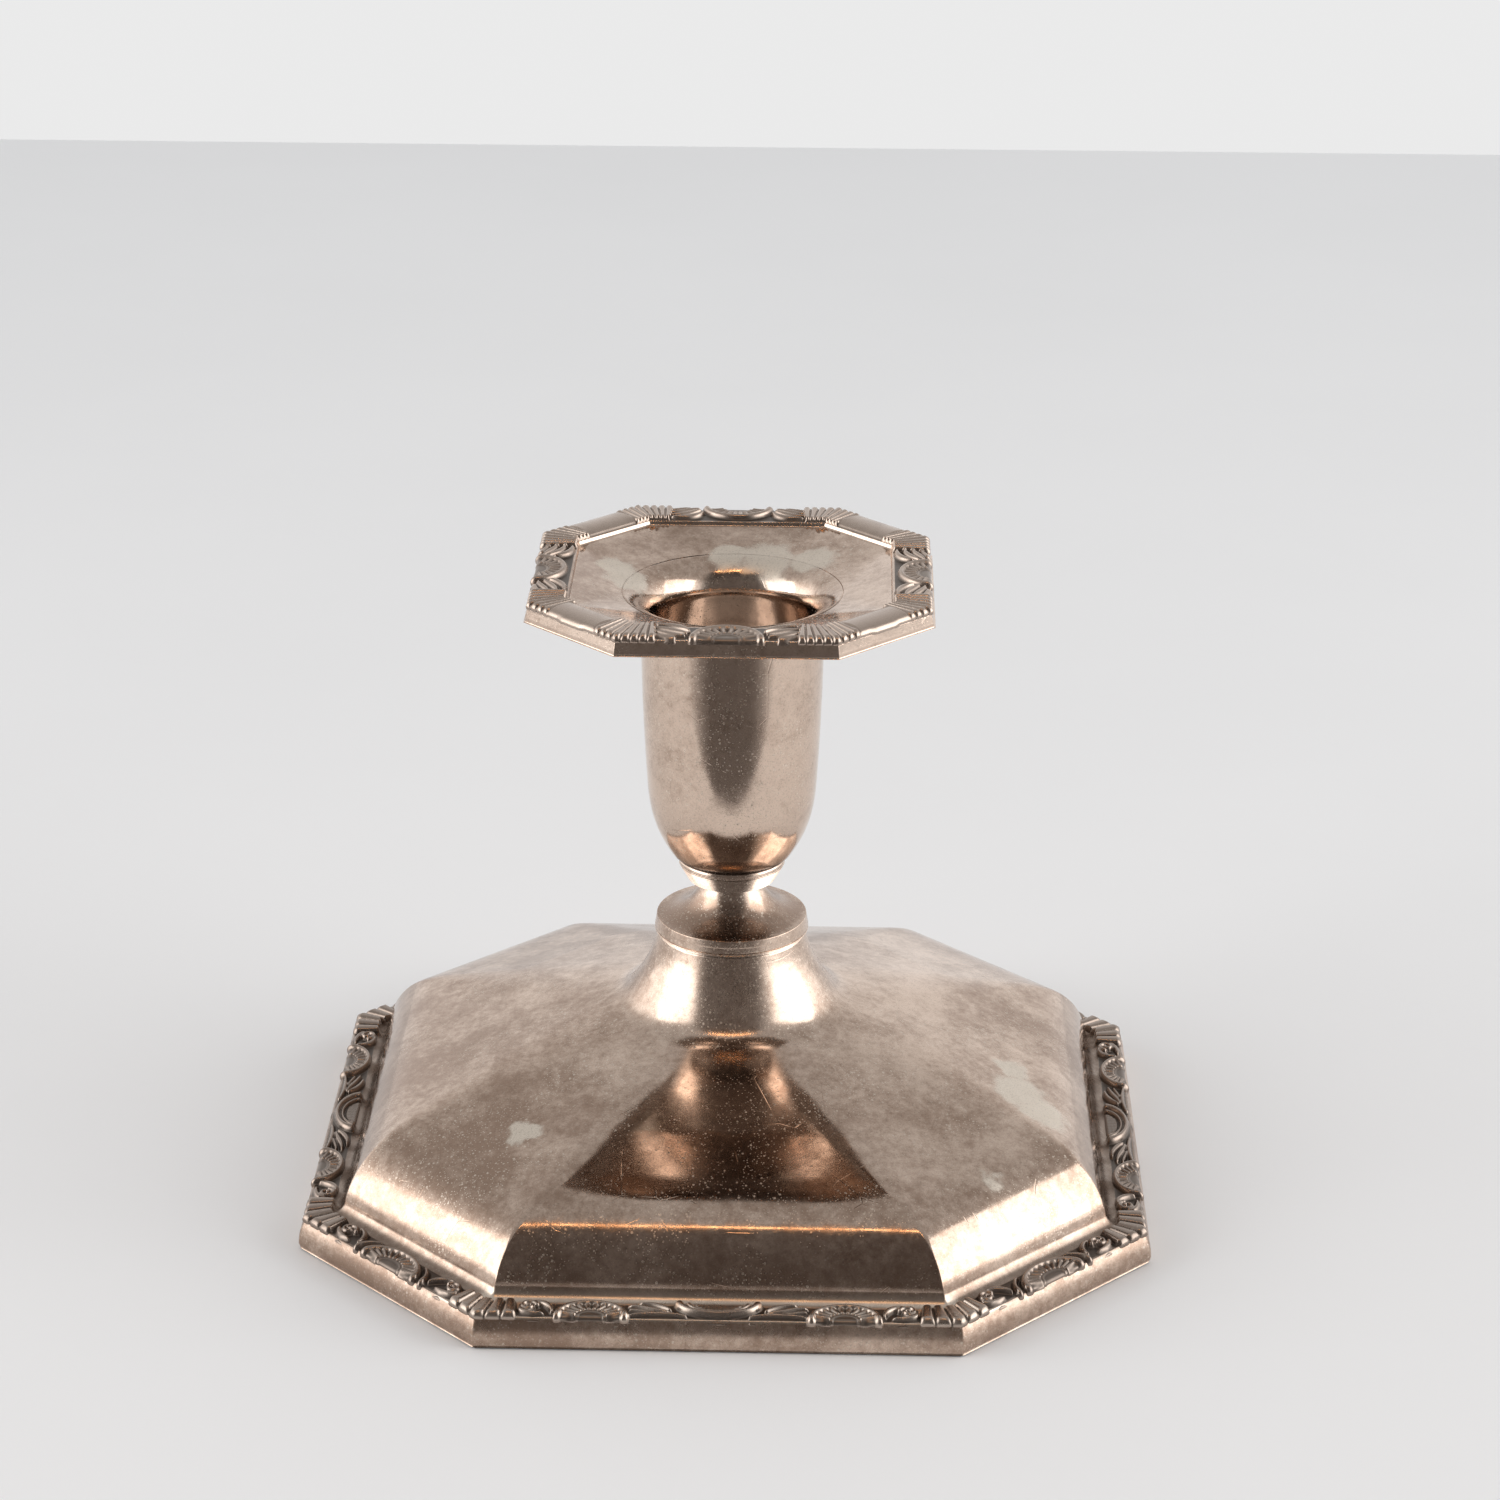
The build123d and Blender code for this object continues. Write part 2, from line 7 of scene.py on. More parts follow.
from collections import namedtuple
from functools import reduce
from math import ceil, cos, degrees, pi, radians, sin, sqrt, tan

import bmesh
import bpy
import numpy as np
from mathutils import Matrix, Vector


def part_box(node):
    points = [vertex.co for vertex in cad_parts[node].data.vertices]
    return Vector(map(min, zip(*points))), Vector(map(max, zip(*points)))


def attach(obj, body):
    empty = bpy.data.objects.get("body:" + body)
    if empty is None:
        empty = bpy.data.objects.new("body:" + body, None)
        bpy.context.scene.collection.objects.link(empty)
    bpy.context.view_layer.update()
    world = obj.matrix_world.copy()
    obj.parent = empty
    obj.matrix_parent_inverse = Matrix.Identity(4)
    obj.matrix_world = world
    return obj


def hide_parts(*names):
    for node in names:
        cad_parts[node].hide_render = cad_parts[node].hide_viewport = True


bl_info = {
    "name": "Silver Candlestick",
    "version": (1, 0, 0),
    "blender": (4, 5, 0),
    "location": "View3D > Sidebar > Candlestick",
    "description": "Builds the visible pieces of a silver candlestick round its packed model",
    "category": "Add Mesh",
}

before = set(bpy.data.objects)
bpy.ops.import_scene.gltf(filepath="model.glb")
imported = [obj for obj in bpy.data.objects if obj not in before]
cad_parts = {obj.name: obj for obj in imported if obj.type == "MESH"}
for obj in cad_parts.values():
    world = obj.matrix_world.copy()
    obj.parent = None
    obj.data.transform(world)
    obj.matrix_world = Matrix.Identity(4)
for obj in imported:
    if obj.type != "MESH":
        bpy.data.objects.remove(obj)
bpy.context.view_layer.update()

MM = 0.001
CANT = tan(radians(22.5))
ALMOST_ROUND = 0.995  # Of a half width: the corner radius that turns a canted square into a near circle
SIDES = ("front", "front_right", "right", "back_right", "back", "back_left", "left", "front_left")


def mm(*lengths):
    """Lengths in millimetres, as metres."""
    return [length * MM for length in lengths]


def top_of(node):
    """The height of a packed node's highest point."""
    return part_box(node)[1].z


def bottom_of(node):
    """The height of a packed node's lowest point."""
    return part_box(node)[0].z


def reach_of(node):
    """How far a packed node reaches from the axis, along +X."""
    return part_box(node)[1].x


# Properties


def length(name, default, description):
    """A size in metres whose default is given in millimetres."""
    return bpy.props.FloatProperty(
        name=name,
        description=description,
        default=default * MM,
        min=0.0,
        precision=5,
        unit="LENGTH",
    )


def colour(name, default, description):
    """A colour that a user can pick."""
    return bpy.props.FloatVectorProperty(
        name=name,
        description=description,
        default=default,
        min=0.0,
        max=1.0,
        size=3,
        subtype="COLOR",
    )


def tilt(name, default, description):
    """An angle whose default is given in degrees."""
    default = radians(default)
    return bpy.props.FloatProperty(name=name, description=description, default=default, subtype="ANGLE")


class BaseSizes(bpy.types.PropertyGroup):
    """Sizes of the pressed base, across its flats."""

    half_flat: length("Half flat", 33.1, "Half of the front side")
    apron_foot: length("Apron foot", 0.2, "Height of the apron's lower edge")
    apron_break: length("Apron break", 2.4, "Height where the apron starts to lean in")
    apron_lean: length("Apron lean", 0.95, "How far the apron leans in")
    apron_round: length("Apron round", 7.0, "Radius of the apron's break")
    ledge: length("Ledge", 4.6, "Height of the ledge under the border")
    foot_half_width: length("Dome foot", 53.9, "Half width of the dome on the ledge")
    foot_round: length("Foot round", 2.1, "Radius between ledge and dome")
    shoulder_half_width: length("Shoulder", 52.9, "Half width at the shoulder")
    shoulder_height: length("Shoulder height", 12.1, "Height of the shoulder")
    shoulder_radius: length("Shoulder radius", 13.0, "Radius of the shoulder")
    bend_half_width: length("Bend", 45.5, "Half width between shoulder and panel")
    bend_height: length("Bend height", 15.75, "Height between shoulder and panel")
    bend_radius: length("Bend radius", 24.0, "Radius between shoulder and panel")
    crown_half_width: length("Crown", 34.0, "Half width where the panel turns flatter")
    crown_height: length("Crown height", 20.0, "Height where the panel turns flatter")
    crown_radius: length("Crown radius", 225.0, "Radius of the panel's crown")
    neck_foot_radius: length("Neck foot", 15.8, "Radius where the panels meet the neck")
    neck_foot_height: length("Neck foot height", 25.2, "Height where the panels meet the neck")
    neck_foot_round: length("Neck foot round", 6.4, "Radius between panel and neck")
    waist_radius: length("Waist", 11.6, "Radius of the neck's waist")
    waist_height: length("Waist height", 31.4, "Height of the neck's waist")
    waist_round: length("Waist round", 22.0, "Radius that rounds the waist")
    neck_top_radius: length("Neck top", 10.6, "Radius of the neck under the knop")
    ridge_radius: length("Ridge radius", 0.5, "Radius of the ridges between panels")
    sheet: length("Sheet", 0.9, "Thickness of the metal")


class StemSizes(bpy.types.PropertyGroup):
    """Sizes of the turned knop and the foot ring."""

    lip_thickness: length("Lip", 0.55, "Thickness of the lip over the neck")
    band_radius: length("Band", 10.95, "Radius of the polished band")
    dish_radius: length("Dish", 10.8, "Radius of the dish's rim")
    dish_height: length("Dish height", 2.45, "Height of the dish's rim over the neck")
    cove_radius: length("Cove", 6.5, "Radius of the cove under the socket")
    ring_radius: length("Ring", 7.6, "Radius of the ring's straight side")
    ring_height: length("Ring height", 2.5, "Height of the ring's straight side")
    ring_under_radius: length("Ring underside", 5.9, "Radius where the ring stands on the knop")
    ring_neck_radius: length("Ring neck", 7.25, "Radius of the groove over the ring")
    rod_hole: length("Rod hole", 3.1, "Radius of the hole for the tie rod")


class SocketSizes(bpy.types.PropertyGroup):
    """Sizes of the socket cup and the nozzle."""

    cup_foot_radius: length("Cup foot", 8.5, "Radius of the cup's foot")
    belly_height: length("Belly height", 10.6, "Height of the belly over the foot")
    swell_radius: length("Swell radius", 392.0, "Radius of the swell up to the rim")
    cup_wall: length("Cup wall", 0.6, "Thickness of the cup")
    cup_floor: length("Cup floor", 1.2, "Thickness of the cup's floor")
    bore_radius: length("Bore", 11.3, "Radius of the bore for the candle")
    sleeve_wall: length("Sleeve wall", 0.5, "Thickness of the sleeve")
    stop_radius: length("Stop radius", 6.0, "Radius of the hole in the candle's stop")
    stop_thickness: length("Stop thickness", 0.8, "Thickness of the candle's stop")
    throat_radius: length("Throat", 5.4, "Radius between flare and bore")
    flange_thickness: length("Flange", 0.7, "Thickness of the flange under the pan")


class PanSizes(bpy.types.PropertyGroup):
    """Sizes of the drip pan, across its flats."""

    half_flat: length("Half flat", 15.3, "Half of the front side")
    apron_lean: length("Apron lean", 0.9, "How far the apron leans in")
    apron_height: length("Apron height", 2.3, "Height of the apron")
    floor_half_width: length("Floor", 22.4, "Half width of the sloping floor")
    floor_rise: length("Floor rise", 2.04, "Height of the floor's edge over the mouth")
    mouth_radius: length("Mouth", 15.3, "Radius of the round mouth")
    wall: length("Wall", 0.8, "Thickness of the pan")


class BorderSizes(bpy.types.PropertyGroup):
    """Sizes of the two chased borders."""

    base_width: length("Base border", 3.85, "Width of the base's border")
    base_relief: length("Base relief", 1.15, "Highest relief on the base")
    pan_width: length("Pan border", 5.15, "Width of the pan's border")
    pan_relief: length("Pan relief", 1.0, "Highest relief on the pan")
    edge_round: length("Edge round", 0.45, "Radius of the rolled outer edge")
    grain: length("Grain", 0.09, "Distance between points")


class FinishColours(bpy.types.PropertyGroup):
    """Colours of the finishes."""

    bright: colour("Bright silver", (0.73, 0.575, 0.47), "Clean silver")
    tarnish: colour("Tarnish", (0.37, 0.258, 0.195), "Silver under brown tarnish")
    chased: colour("Chased silver", (0.33, 0.27, 0.232), "Dulled silver of the ornament")
    # Also used as painted shade on faces that point down and at the front of the foot channel.
    deep_tarnish_and_shade: colour("Deep tarnish", (0.085, 0.07, 0.06), "Tarnish in hollows")
    worn: colour("Worn patch", (0.78, 0.7, 0.6), "Dull patches without tarnish")
    steel: colour("Steel", (0.50, 0.49, 0.47), "Rod, nuts, washer and plate")
    pitch: colour("Pitch", (0.05, 0.038, 0.03), "Filling of the base")
    felt: colour("Felt", (0.035, 0.09, 0.06), "Felt under the base")
    table: colour("Table", (0.87, 0.88, 0.895), "Table top")
    # The card is seen only in reflections, as a painted dark reflection.
    card: colour("Card", (0.16, 0.148, 0.142), "Dark card in front")
    room: colour("Room", (1.0, 1.0, 1.0), "Light of the room")


class StageSettings(bpy.types.PropertyGroup):
    """The table, the lights and the camera."""

    lens: bpy.props.FloatProperty(name="Lens", description="Focal length in millimetres", default=96.78)
    distance: length("Distance", 574.7, "Distance from the camera to its target")
    target_right: length("Target right", 2.54, "How far the target is to the right of the axis")
    target_height: length("Target height", 63.57, "Height of the target")
    elevation: tilt("Elevation", 21.763, "Camera angle above the horizon")
    turn: tilt("Turn", 1.39, "How far the camera is turned round the candlestick")
    roll: tilt("Roll", 0.274, "How far the camera is rolled")
    card_distance: length("Card distance", 115.0, "Distance of the dark card in front")
    card_width: length("Card width", 350.0, "Width of the dark card, with its soft edges")
    card_height: length("Card height", 330.0, "Height of the dark card, with its soft edge")
    power: bpy.props.FloatProperty(name="Power", description="Power of each softbox", default=4.0)


# Outlines and paths


def rounded(corners, radii, step=None):
    """Points along straight runs whose inner corners are rounded; step is the longest gap on a run."""
    corners = [np.array(corner, float) for corner in corners]
    path = [corners[0]]
    for before, corner, after, radius in zip(corners, corners[1:], corners[2:], radii):
        back = (before - corner) / np.linalg.norm(before - corner)
        on = (after - corner) / np.linalg.norm(after - corner)
        half_turn = (pi - np.arccos(np.clip(back @ on, -1.0, 1.0))) / 2
        if radius <= 0.0 or half_turn < 1e-4:
            path.append(corner)
            continue
        bisector = (back + on) / np.linalg.norm(back + on)
        centre = corner + bisector * radius / cos(half_turn)
        start = corner + back * radius * tan(half_turn) - centre
        turn = 2 * half_turn * np.sign(start[0] * on[1] - start[1] * on[0])
        for angle in np.linspace(0.0, turn, max(2, ceil(degrees(abs(turn)) / 5)) + 1):
            path.append(centre + start @ [[cos(angle), sin(angle)], [-sin(angle), cos(angle)]])
    path.append(corners[-1])
    if step is None:
        return np.array(path)
    fine = [path[0]]
    for start, end in zip(path, path[1:]):
        count = max(1, ceil(np.linalg.norm(end - start) / step))
        fine.extend(np.linspace(start, end, count + 1)[1:])
    return np.array(fine)


def bezier(start, start_handle, end_handle, end, count=24):
    """Points along a cubic curve, the first left out."""
    place = np.linspace(0.0, 1.0, count + 1)[1:, None]
    rest = 1.0 - place
    return (
        rest**3 * np.array(start)
        + 3 * rest**2 * place * np.array(start_handle)
        + 3 * rest * place**2 * np.array(end_handle)
        + place**3 * np.array(end)
    )


def canted_ring(half_width, half_flat, corner, corner_points=9, side_points=14):
    """Points round a square with canted, rounded corners, from the front's left end, anticlockwise."""
    reaches = (half_width, (half_width + half_flat) / sqrt(2))
    arcs = []
    for number in range(8):
        before = radians(-135 + 45 * number)
        after = radians(-90 + 45 * number)
        normals = [[cos(before), sin(before)], [cos(after), sin(after)]]
        sides = [reaches[(number + 1) % 2] - corner, reaches[number % 2] - corner]
        angles = np.linspace(before, after, corner_points)
        centre = np.linalg.solve(normals, sides)
        arcs.append(centre + corner * np.column_stack([np.cos(angles), np.sin(angles)]))
    ring = []
    for arc, following in zip(arcs, arcs[1:] + arcs[:1]):
        ring += [arc, np.linspace(arc[-1], following[0], side_points + 2)[1:-1]]
    return np.concatenate(ring)


# Meshes


def add_piece(name, shape, body, slot, material, *replaced):
    """A closed, smooth mesh of points and faces that rides on a body and stands for packed nodes."""
    points, faces = shape
    mesh = bpy.data.meshes.new(name)
    mesh.from_pydata(np.asarray(points).tolist(), [], faces)
    shape = bmesh.new()
    shape.from_mesh(mesh)
    bmesh.ops.recalc_face_normals(shape, faces=shape.faces)
    shape.to_mesh(mesh)
    shape.free()
    mesh.shade_smooth()
    mesh.materials.append(material)
    piece = bpy.data.objects.new(name, mesh)
    bpy.context.scene.collection.objects.link(piece)
    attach(piece, body)
    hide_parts(*replaced)
    return piece


def ring_faces(ring_count, ring_size, joined=True):
    """Quads between rings of points; the last ring is joined to the first, or both ends are closed."""
    faces = []
    for ring in range(ring_count if joined else ring_count - 1):
        lower = ring * ring_size
        upper = (ring + 1) % ring_count * ring_size
        for place in range(ring_size):
            following = (place + 1) % ring_size
            faces.append((lower + place, lower + following, upper + following, upper + place))
    if not joined:
        last = (ring_count - 1) * ring_size
        faces += [range(ring_size), range(last, last + ring_size)]
    return faces


def turned(profile, segments=192):
    """Points and faces of a turned piece: its closed profile of (radius, height), spun round Z."""
    angles = np.arange(segments) * 2 * pi / segments
    radius, height = profile[:, :1], profile[:, 1:]
    spun = [radius * np.cos(angles), radius * np.sin(angles), np.repeat(height, segments, axis=1)]
    return np.stack(spun, axis=2).reshape(-1, 3), ring_faces(len(profile), segments)


def lofted(rings):
    """Points and faces of a closed skin through canted rings of (half width, half flat, corner, height)."""
    points = []
    for half_width, half_flat, corner, height in rings:
        outline = canted_ring(half_width, half_flat, corner)
        points.append(np.column_stack([outline, np.full(len(outline), height)]))
    return np.concatenate(points), ring_faces(len(rings), len(points[0]))


# Finishes


def wire(node, inputs):
    """Set a node's inputs to values, or link them to sockets."""
    for name, value in inputs.items():
        if isinstance(value, bpy.types.NodeSocket):
            node.id_data.links.new(value, node.inputs[name])
        else:
            node.inputs[name].default_value = value


def add_node(kind, inputs, **settings):
    """A shader node with its settings, in the tree of the sockets that feed it."""
    tree = next(value.id_data for value in inputs.values() if isinstance(value, bpy.types.NodeSocket))
    node = tree.nodes.new(kind)
    for name, value in settings.items():
        setattr(node, name, value)
    wire(node, inputs)
    return node


def rgba(value):
    """A colour with full alpha."""
    return (*value, 1.0)


def shade(tint, factor):
    """A colour made lighter or darker."""
    return [part * factor for part in tint]


def noise(place, scale, detail=3.0, roughness=0.55, distortion=0.0):
    """The value of a noise texture at a place."""
    inputs = {"Vector": place, "Scale": scale, "Detail": detail, "Roughness": roughness}
    inputs["Distortion"] = distortion
    return add_node("ShaderNodeTexNoise", inputs).outputs["Fac"]


def remap(value, low, high, to_low=0.0, to_high=1.0):
    """A value taken smoothly from one range to another and held at its ends."""
    inputs = {"Value": value, "From Min": low, "From Max": high, "To Min": to_low, "To Max": to_high}
    return add_node("ShaderNodeMapRange", inputs, interpolation_type="SMOOTHSTEP").outputs["Result"]


def combine(operation, first, *others):
    """Values taken together by an operation, one after another."""
    for other in others:
        first = add_node("ShaderNodeMath", {0: first, 1: other}, operation=operation).outputs[0]
    return first


def times(*values):
    """The product of values."""
    return combine("MULTIPLY", *values)


def plus(*values):
    """The sum of values."""
    return combine("ADD", *values)


def largest(*values):
    """The largest of values."""
    return combine("MAXIMUM", *values)


def blend(factor, first, second):
    """A colour mixed from two, each a plain colour or a socket."""
    ends = [end if isinstance(end, bpy.types.NodeSocket) else rgba(end) for end in (first, second)]
    return add_node("ShaderNodeMix", {0: factor, 6: ends[0], 7: ends[1]}, data_type="RGBA").outputs[2]


def bump(height, strength, distance):
    """A normal bent by a height; the distance is in millimetres."""
    inputs = {"Height": height, "Strength": strength, "Distance": distance * MM}
    return add_node("ShaderNodeBump", inputs).outputs["Normal"]


def finish(name, looks_of, *options):
    """A finish by name, made the first time that it is asked for: looks_of gives its shader's inputs."""
    made = bpy.data.materials.get(name)
    if made:
        return made
    material = bpy.data.materials.new(name)
    material.use_nodes = True
    tree = material.node_tree
    place = tree.nodes.new("ShaderNodeTexCoord").outputs["Object"]
    looks = looks_of(place, bpy.context.scene.candlestick_finish, *options)
    wire(tree.nodes["Principled BSDF"], looks)
    return material


# Dull patches on the plate: where they are, in millimetres, and how large
WORN_PATCHES = (
    (-28.0, -30.8, 17.8, 2.9),
    (41.0, -8.0, 18.0, 3.4),
    (42.0, -14.0, 17.4, 5.6),
    (45.0, -18.5, 15.8, 4.8),
    (36.5, -35.5, 13.3, 2.6),
    (-17.0, 8.0, 88.2, 3.4),
    (-15.0, 3.5, 88.2, 4.0),
    (-1.0, 15.0, 88.2, 3.4),
    (4.5, 13.8, 88.2, 5.0),
    (11.0, 12.5, 88.2, 4.4),
)


# Zones of the plate: what they run along, where they start and where they are full, in millimetres
ZONES = {
    "toward_foot": ("Z", 60.0, 5.0),
    "toward_left": ("X", 40.0, -40.0),
    "pan_height": ("Z", 84.0, 86.0),
    "pan_floor": ("radius", 26.0, 22.0),
    "over_band": ("Z", 38.3, 38.6),
    "under_cup": ("Z", 43.0, 41.0),
    "under_wall": ("Z", 6.4, 5.0),
    "over_ledge": ("Z", 4.2, 4.5),
    "front": ("Y", -52.5, -54.0),
    "in_bore": ("radius", 11.9, 11.1),
    "nozzle_height": ("Z", 68.0, 70.0),
    "border_height": ("Z", 7.5, 4.5),
    "over_panels": ("Z", 23.0, 28.0),
    "under_belly": ("Z", 50.0, 44.0),
}


def plate_axes(place):
    """The coordinates of a place and its distance from the candlestick's axis."""
    parts = add_node("ShaderNodeSeparateXYZ", {0: place}).outputs
    flat = add_node("ShaderNodeVectorMath", {0: place, 1: (1.0, 1.0, 0.0)}, operation="MULTIPLY")
    radius = add_node("ShaderNodeVectorMath", {0: flat.outputs[0]}, operation="LENGTH")
    return {"X": parts["X"], "Y": parts["Y"], "Z": parts["Z"], "radius": radius.outputs["Value"]}


def zone(axes, name, low=0.0, high=1.0):
    """A value that goes from low outside a zone to high inside it."""
    axis, start, full = ZONES[name]
    return remap(axes[axis], start * MM, full * MM, low, high)


def zones(axes, *names):
    """One where all of some zones overlap, nothing outside them."""
    return times(*(zone(axes, name) for name in names))


def worn_mask(place):
    """One where a worn patch lies, with a ragged edge."""
    ragged = noise(place, 260.0, detail=4.0)
    shift = times(combine("SUBTRACT", ragged, 0.5), 6.0 * MM)
    patches = []
    for *centre, radius in WORN_PATCHES:
        gap = add_node("ShaderNodeVectorMath", {0: place, 1: mm(*centre)}, operation="DISTANCE")
        distance = plus(gap.outputs["Value"], shift)
        patches.append(remap(distance, radius * MM, radius * MM * 0.6))
    return largest(*patches)


def speck_mask(place):
    """One on small round specks of two sizes, which gather in clusters."""
    spots = []
    for scale, radius in ((900.0, 0.22), (2300.0, 0.3)):
        cells = add_node("ShaderNodeTexVoronoi", {"Vector": place, "Scale": scale})
        spots.append(remap(cells.outputs["Distance"], radius, radius * 0.4))
    clusters = remap(noise(place, 85.0), 0.38, 0.62, 0.25, 1.0)
    return times(largest(*spots), clusters)


def scratch_mask(place):
    """One along thin scratches that come and go."""
    inputs = {"Vector": place, "Scale": 130.0}
    cells = add_node("ShaderNodeTexVoronoi", inputs, feature="DISTANCE_TO_EDGE")
    lines = remap(cells.outputs["Distance"], 0.012, 0.0)
    return times(lines, remap(noise(place, 90.0), 0.5, 0.6))


def tarnish_mask(place, axes, stains):
    """One under full tarnish: clouds, stains and blots, with more or less of it in some zones."""
    clouds = noise(place, 48.0, detail=5.0, distortion=0.6)
    blots = noise(place, 800.0, detail=4.0, roughness=0.7)
    mottle = plus(
        times(clouds, 0.4),
        times(stains, 0.3),
        times(blots, 0.3),
        zone(axes, "toward_foot", low=-0.09, high=0.035),
        zone(axes, "toward_left", low=-0.025, high=0.03),
        times(zones(axes, "over_band", "under_cup"), 0.16),
        times(zones(axes, "pan_height", "pan_floor"), 0.1),
    )
    return remap(mottle, 0.37, 0.64)


def silver_finish(place, colours, chased=False):
    """Silver plate: brown tarnish in clouds and stains, pale specks, worn patches and fine scratches, with
    painted shade on faces that point down, at the front of the dome's foot channel and inside the bore.
    """
    axes = plate_axes(place)
    stains = noise(place, 210.0, detail=6.0, roughness=0.68, distortion=0.5)
    grain = noise(place, 4200.0, roughness=0.75)
    worn = worn_mask(place)
    specks = speck_mask(place)
    nodes = place.id_data.nodes
    normal = nodes.new("ShaderNodeNewGeometry").outputs["Normal"]
    facing = add_node("ShaderNodeSeparateXYZ", {0: normal}).outputs["Z"]
    # The dome's foot channel: painted shade at the front, paler elsewhere.
    channel_shade_at_front = blend(zone(axes, "front"), colours.deep_tarnish_and_shade, colours.worn)
    base = blend(tarnish_mask(place, axes, stains), colours.bright, colours.tarnish)
    for mask, strength, tint in (
        (worn, 0.85, colours.worn),
        (remap(grain, 0.5, 0.68), 0.3, colours.deep_tarnish_and_shade),
        (specks, 0.6, colours.worn),
        # Painted shade in the foot channel at the front; paler elsewhere.
        (zones(axes, "under_wall", "over_ledge"), 0.5, channel_shade_at_front),
        # Painted shade on faces that point down, such as the pan's underside and the cup's belly.
        (remap(facing, -0.35, -0.8), 0.75, colours.deep_tarnish_and_shade),
        # Painted shade inside the nozzle's bore.
        (zones(axes, "in_bore", "nozzle_height"), 0.75, colours.chased),
    ):
        base = blend(times(mask, strength), base, tint)
    dull = largest(worn, specks, zone(axes, "border_height", high=0.6))
    if chased:
        attribute = nodes.new("ShaderNodeAttribute")
        attribute.attribute_name = "tarnish"
        hollow = attribute.outputs["Fac"]
        dull = largest(dull, plus(times(hollow, 0.5), 0.45))
        base = blend(0.65, base, colours.chased)
        base = blend(times(hollow, 0.85), base, colours.deep_tarnish_and_shade)
    gloss = remap(stains, 0.3, 0.75, 0.07, 0.16)
    neck = times(zones(axes, "over_panels", "under_belly"), 0.12)
    texture = plus(times(stains, 0.4), times(grain, 0.12))
    return {
        "Metallic": 1.0,
        "Base Color": base,
        "Roughness": plus(gloss, neck, times(dull, 0.3)),
        "Normal": bump(combine("SUBTRACT", texture, scratch_mask(place)), 0.07, 0.2),
    }


def steel_finish(place, colours):
    """Turned steel with fine rings from the lathe."""
    inputs = {"Vector": place, "Scale": 900.0, "Distortion": 0.6, "Detail": 2.0}
    rings = add_node("ShaderNodeTexWave", inputs, wave_type="BANDS", bands_direction="Z").outputs["Fac"]
    stains = remap(noise(place, 400.0, detail=4.0), 0.4, 0.7)
    return {
        "Metallic": 1.0,
        "Base Color": blend(stains, colours.steel, shade(colours.steel, 0.62)),
        "Roughness": remap(rings, 0.0, 1.0, 0.28, 0.42),
        "Normal": bump(rings, 0.1, 0.05),
    }


def pitch_finish(place, colours):
    """Hard pitch with a lumpy, half-glossy surface."""
    lumps = noise(place, 220.0, detail=5.0)
    return {
        "Base Color": blend(lumps, colours.pitch, shade(colours.pitch, 1.8)),
        "Roughness": remap(lumps, 0.3, 0.7, 0.3, 0.6),
        "Normal": bump(lumps, 0.5, 0.6),
    }


def felt_finish(place, colours):
    """Pressed wool felt with matted fibres."""
    fibres = noise(place, 2600.0, detail=4.0, roughness=0.7, distortion=1.5)
    tufts = remap(times(fibres, noise(place, 320.0)), 0.15, 0.4)
    return {
        "Base Color": blend(tufts, shade(colours.felt, 0.55), shade(colours.felt, 1.5)),
        "Roughness": 0.95,
        "Sheen Weight": 0.4,
        "Normal": bump(fibres, 0.7, 0.3),
    }


def table_finish(place, colours):
    """A matt white table with faint clouds."""
    clouds = remap(noise(place, 6.0, detail=4.0), 0.35, 0.65)
    return {
        "Base Color": blend(clouds, colours.table, shade(colours.table, 0.985)),
        "Roughness": 0.7,
        "Specular IOR Level": 0.1,
    }


def card_finish(place, colours, width, height):
    """A dark grey card that fades out toward its sides and its top; it is seen only in reflections, as a
    painted dark reflection.
    """
    parts = add_node("ShaderNodeSeparateXYZ", {0: place}).outputs
    aside = combine("ABSOLUTE", parts["X"], 0.0)
    solid_side = remap(aside, width / 2, width * 0.13)
    solid_top = remap(parts["Z"], height, height * 0.35)
    return {
        "Base Color": rgba(colours.card),
        "Roughness": 0.9,
        "Alpha": times(solid_side, solid_top),
    }


# Pieces


def add_plate(name, shape, body, node):
    """A piece of tarnished plate in place of its packed node."""
    plate = finish("tarnished_silver", silver_finish)
    return add_piece(name, shape, body, "silver_plate", plate, node)


def dome_path(base):
    """The dome's profile across its flats, from its foot on the ledge to the top of the neck."""
    return rounded(
        [
            (base.foot_half_width, base.ledge),
            (base.shoulder_half_width, base.shoulder_height),
            (base.bend_half_width, base.bend_height),
            (base.crown_half_width, base.crown_height),
            (base.neck_foot_radius, base.neck_foot_height),
            (base.waist_radius, base.waist_height),
            (base.neck_top_radius, bottom_of("stem_knop")),
        ],
        [base.shoulder_radius, base.bend_radius, base.crown_radius, base.neck_foot_round, base.waist_round],
        step=0.7 * MM,
    )


def dome_rings(base, inset):
    """Canted rings up the dome that turn into circles at the neck, set in by a wall."""
    path = dome_path(base)
    along = np.gradient(path, axis=0)
    along /= np.linalg.norm(along, axis=1)[:, None]
    foot_flat = base.half_flat - (reach_of("base_shell") - base.foot_half_width) * CANT
    foot_share = foot_flat / base.foot_half_width
    rings = []
    for point, tangent in zip(path, along):
        half_width = point[0] - inset * tangent[1]
        height = point[1] + inset * tangent[0]
        rise = (base.foot_half_width - point[0]) / (base.foot_half_width - base.neck_foot_radius)
        rise = min(max(rise, 0.0), 1.0)
        flat_share = foot_share + (CANT - foot_share) * rise**1.2
        corner = base.ridge_radius + (ALMOST_ROUND * half_width - base.ridge_radius) * rise**2
        rings.append((half_width, half_width * flat_share, corner, height))
    return rings


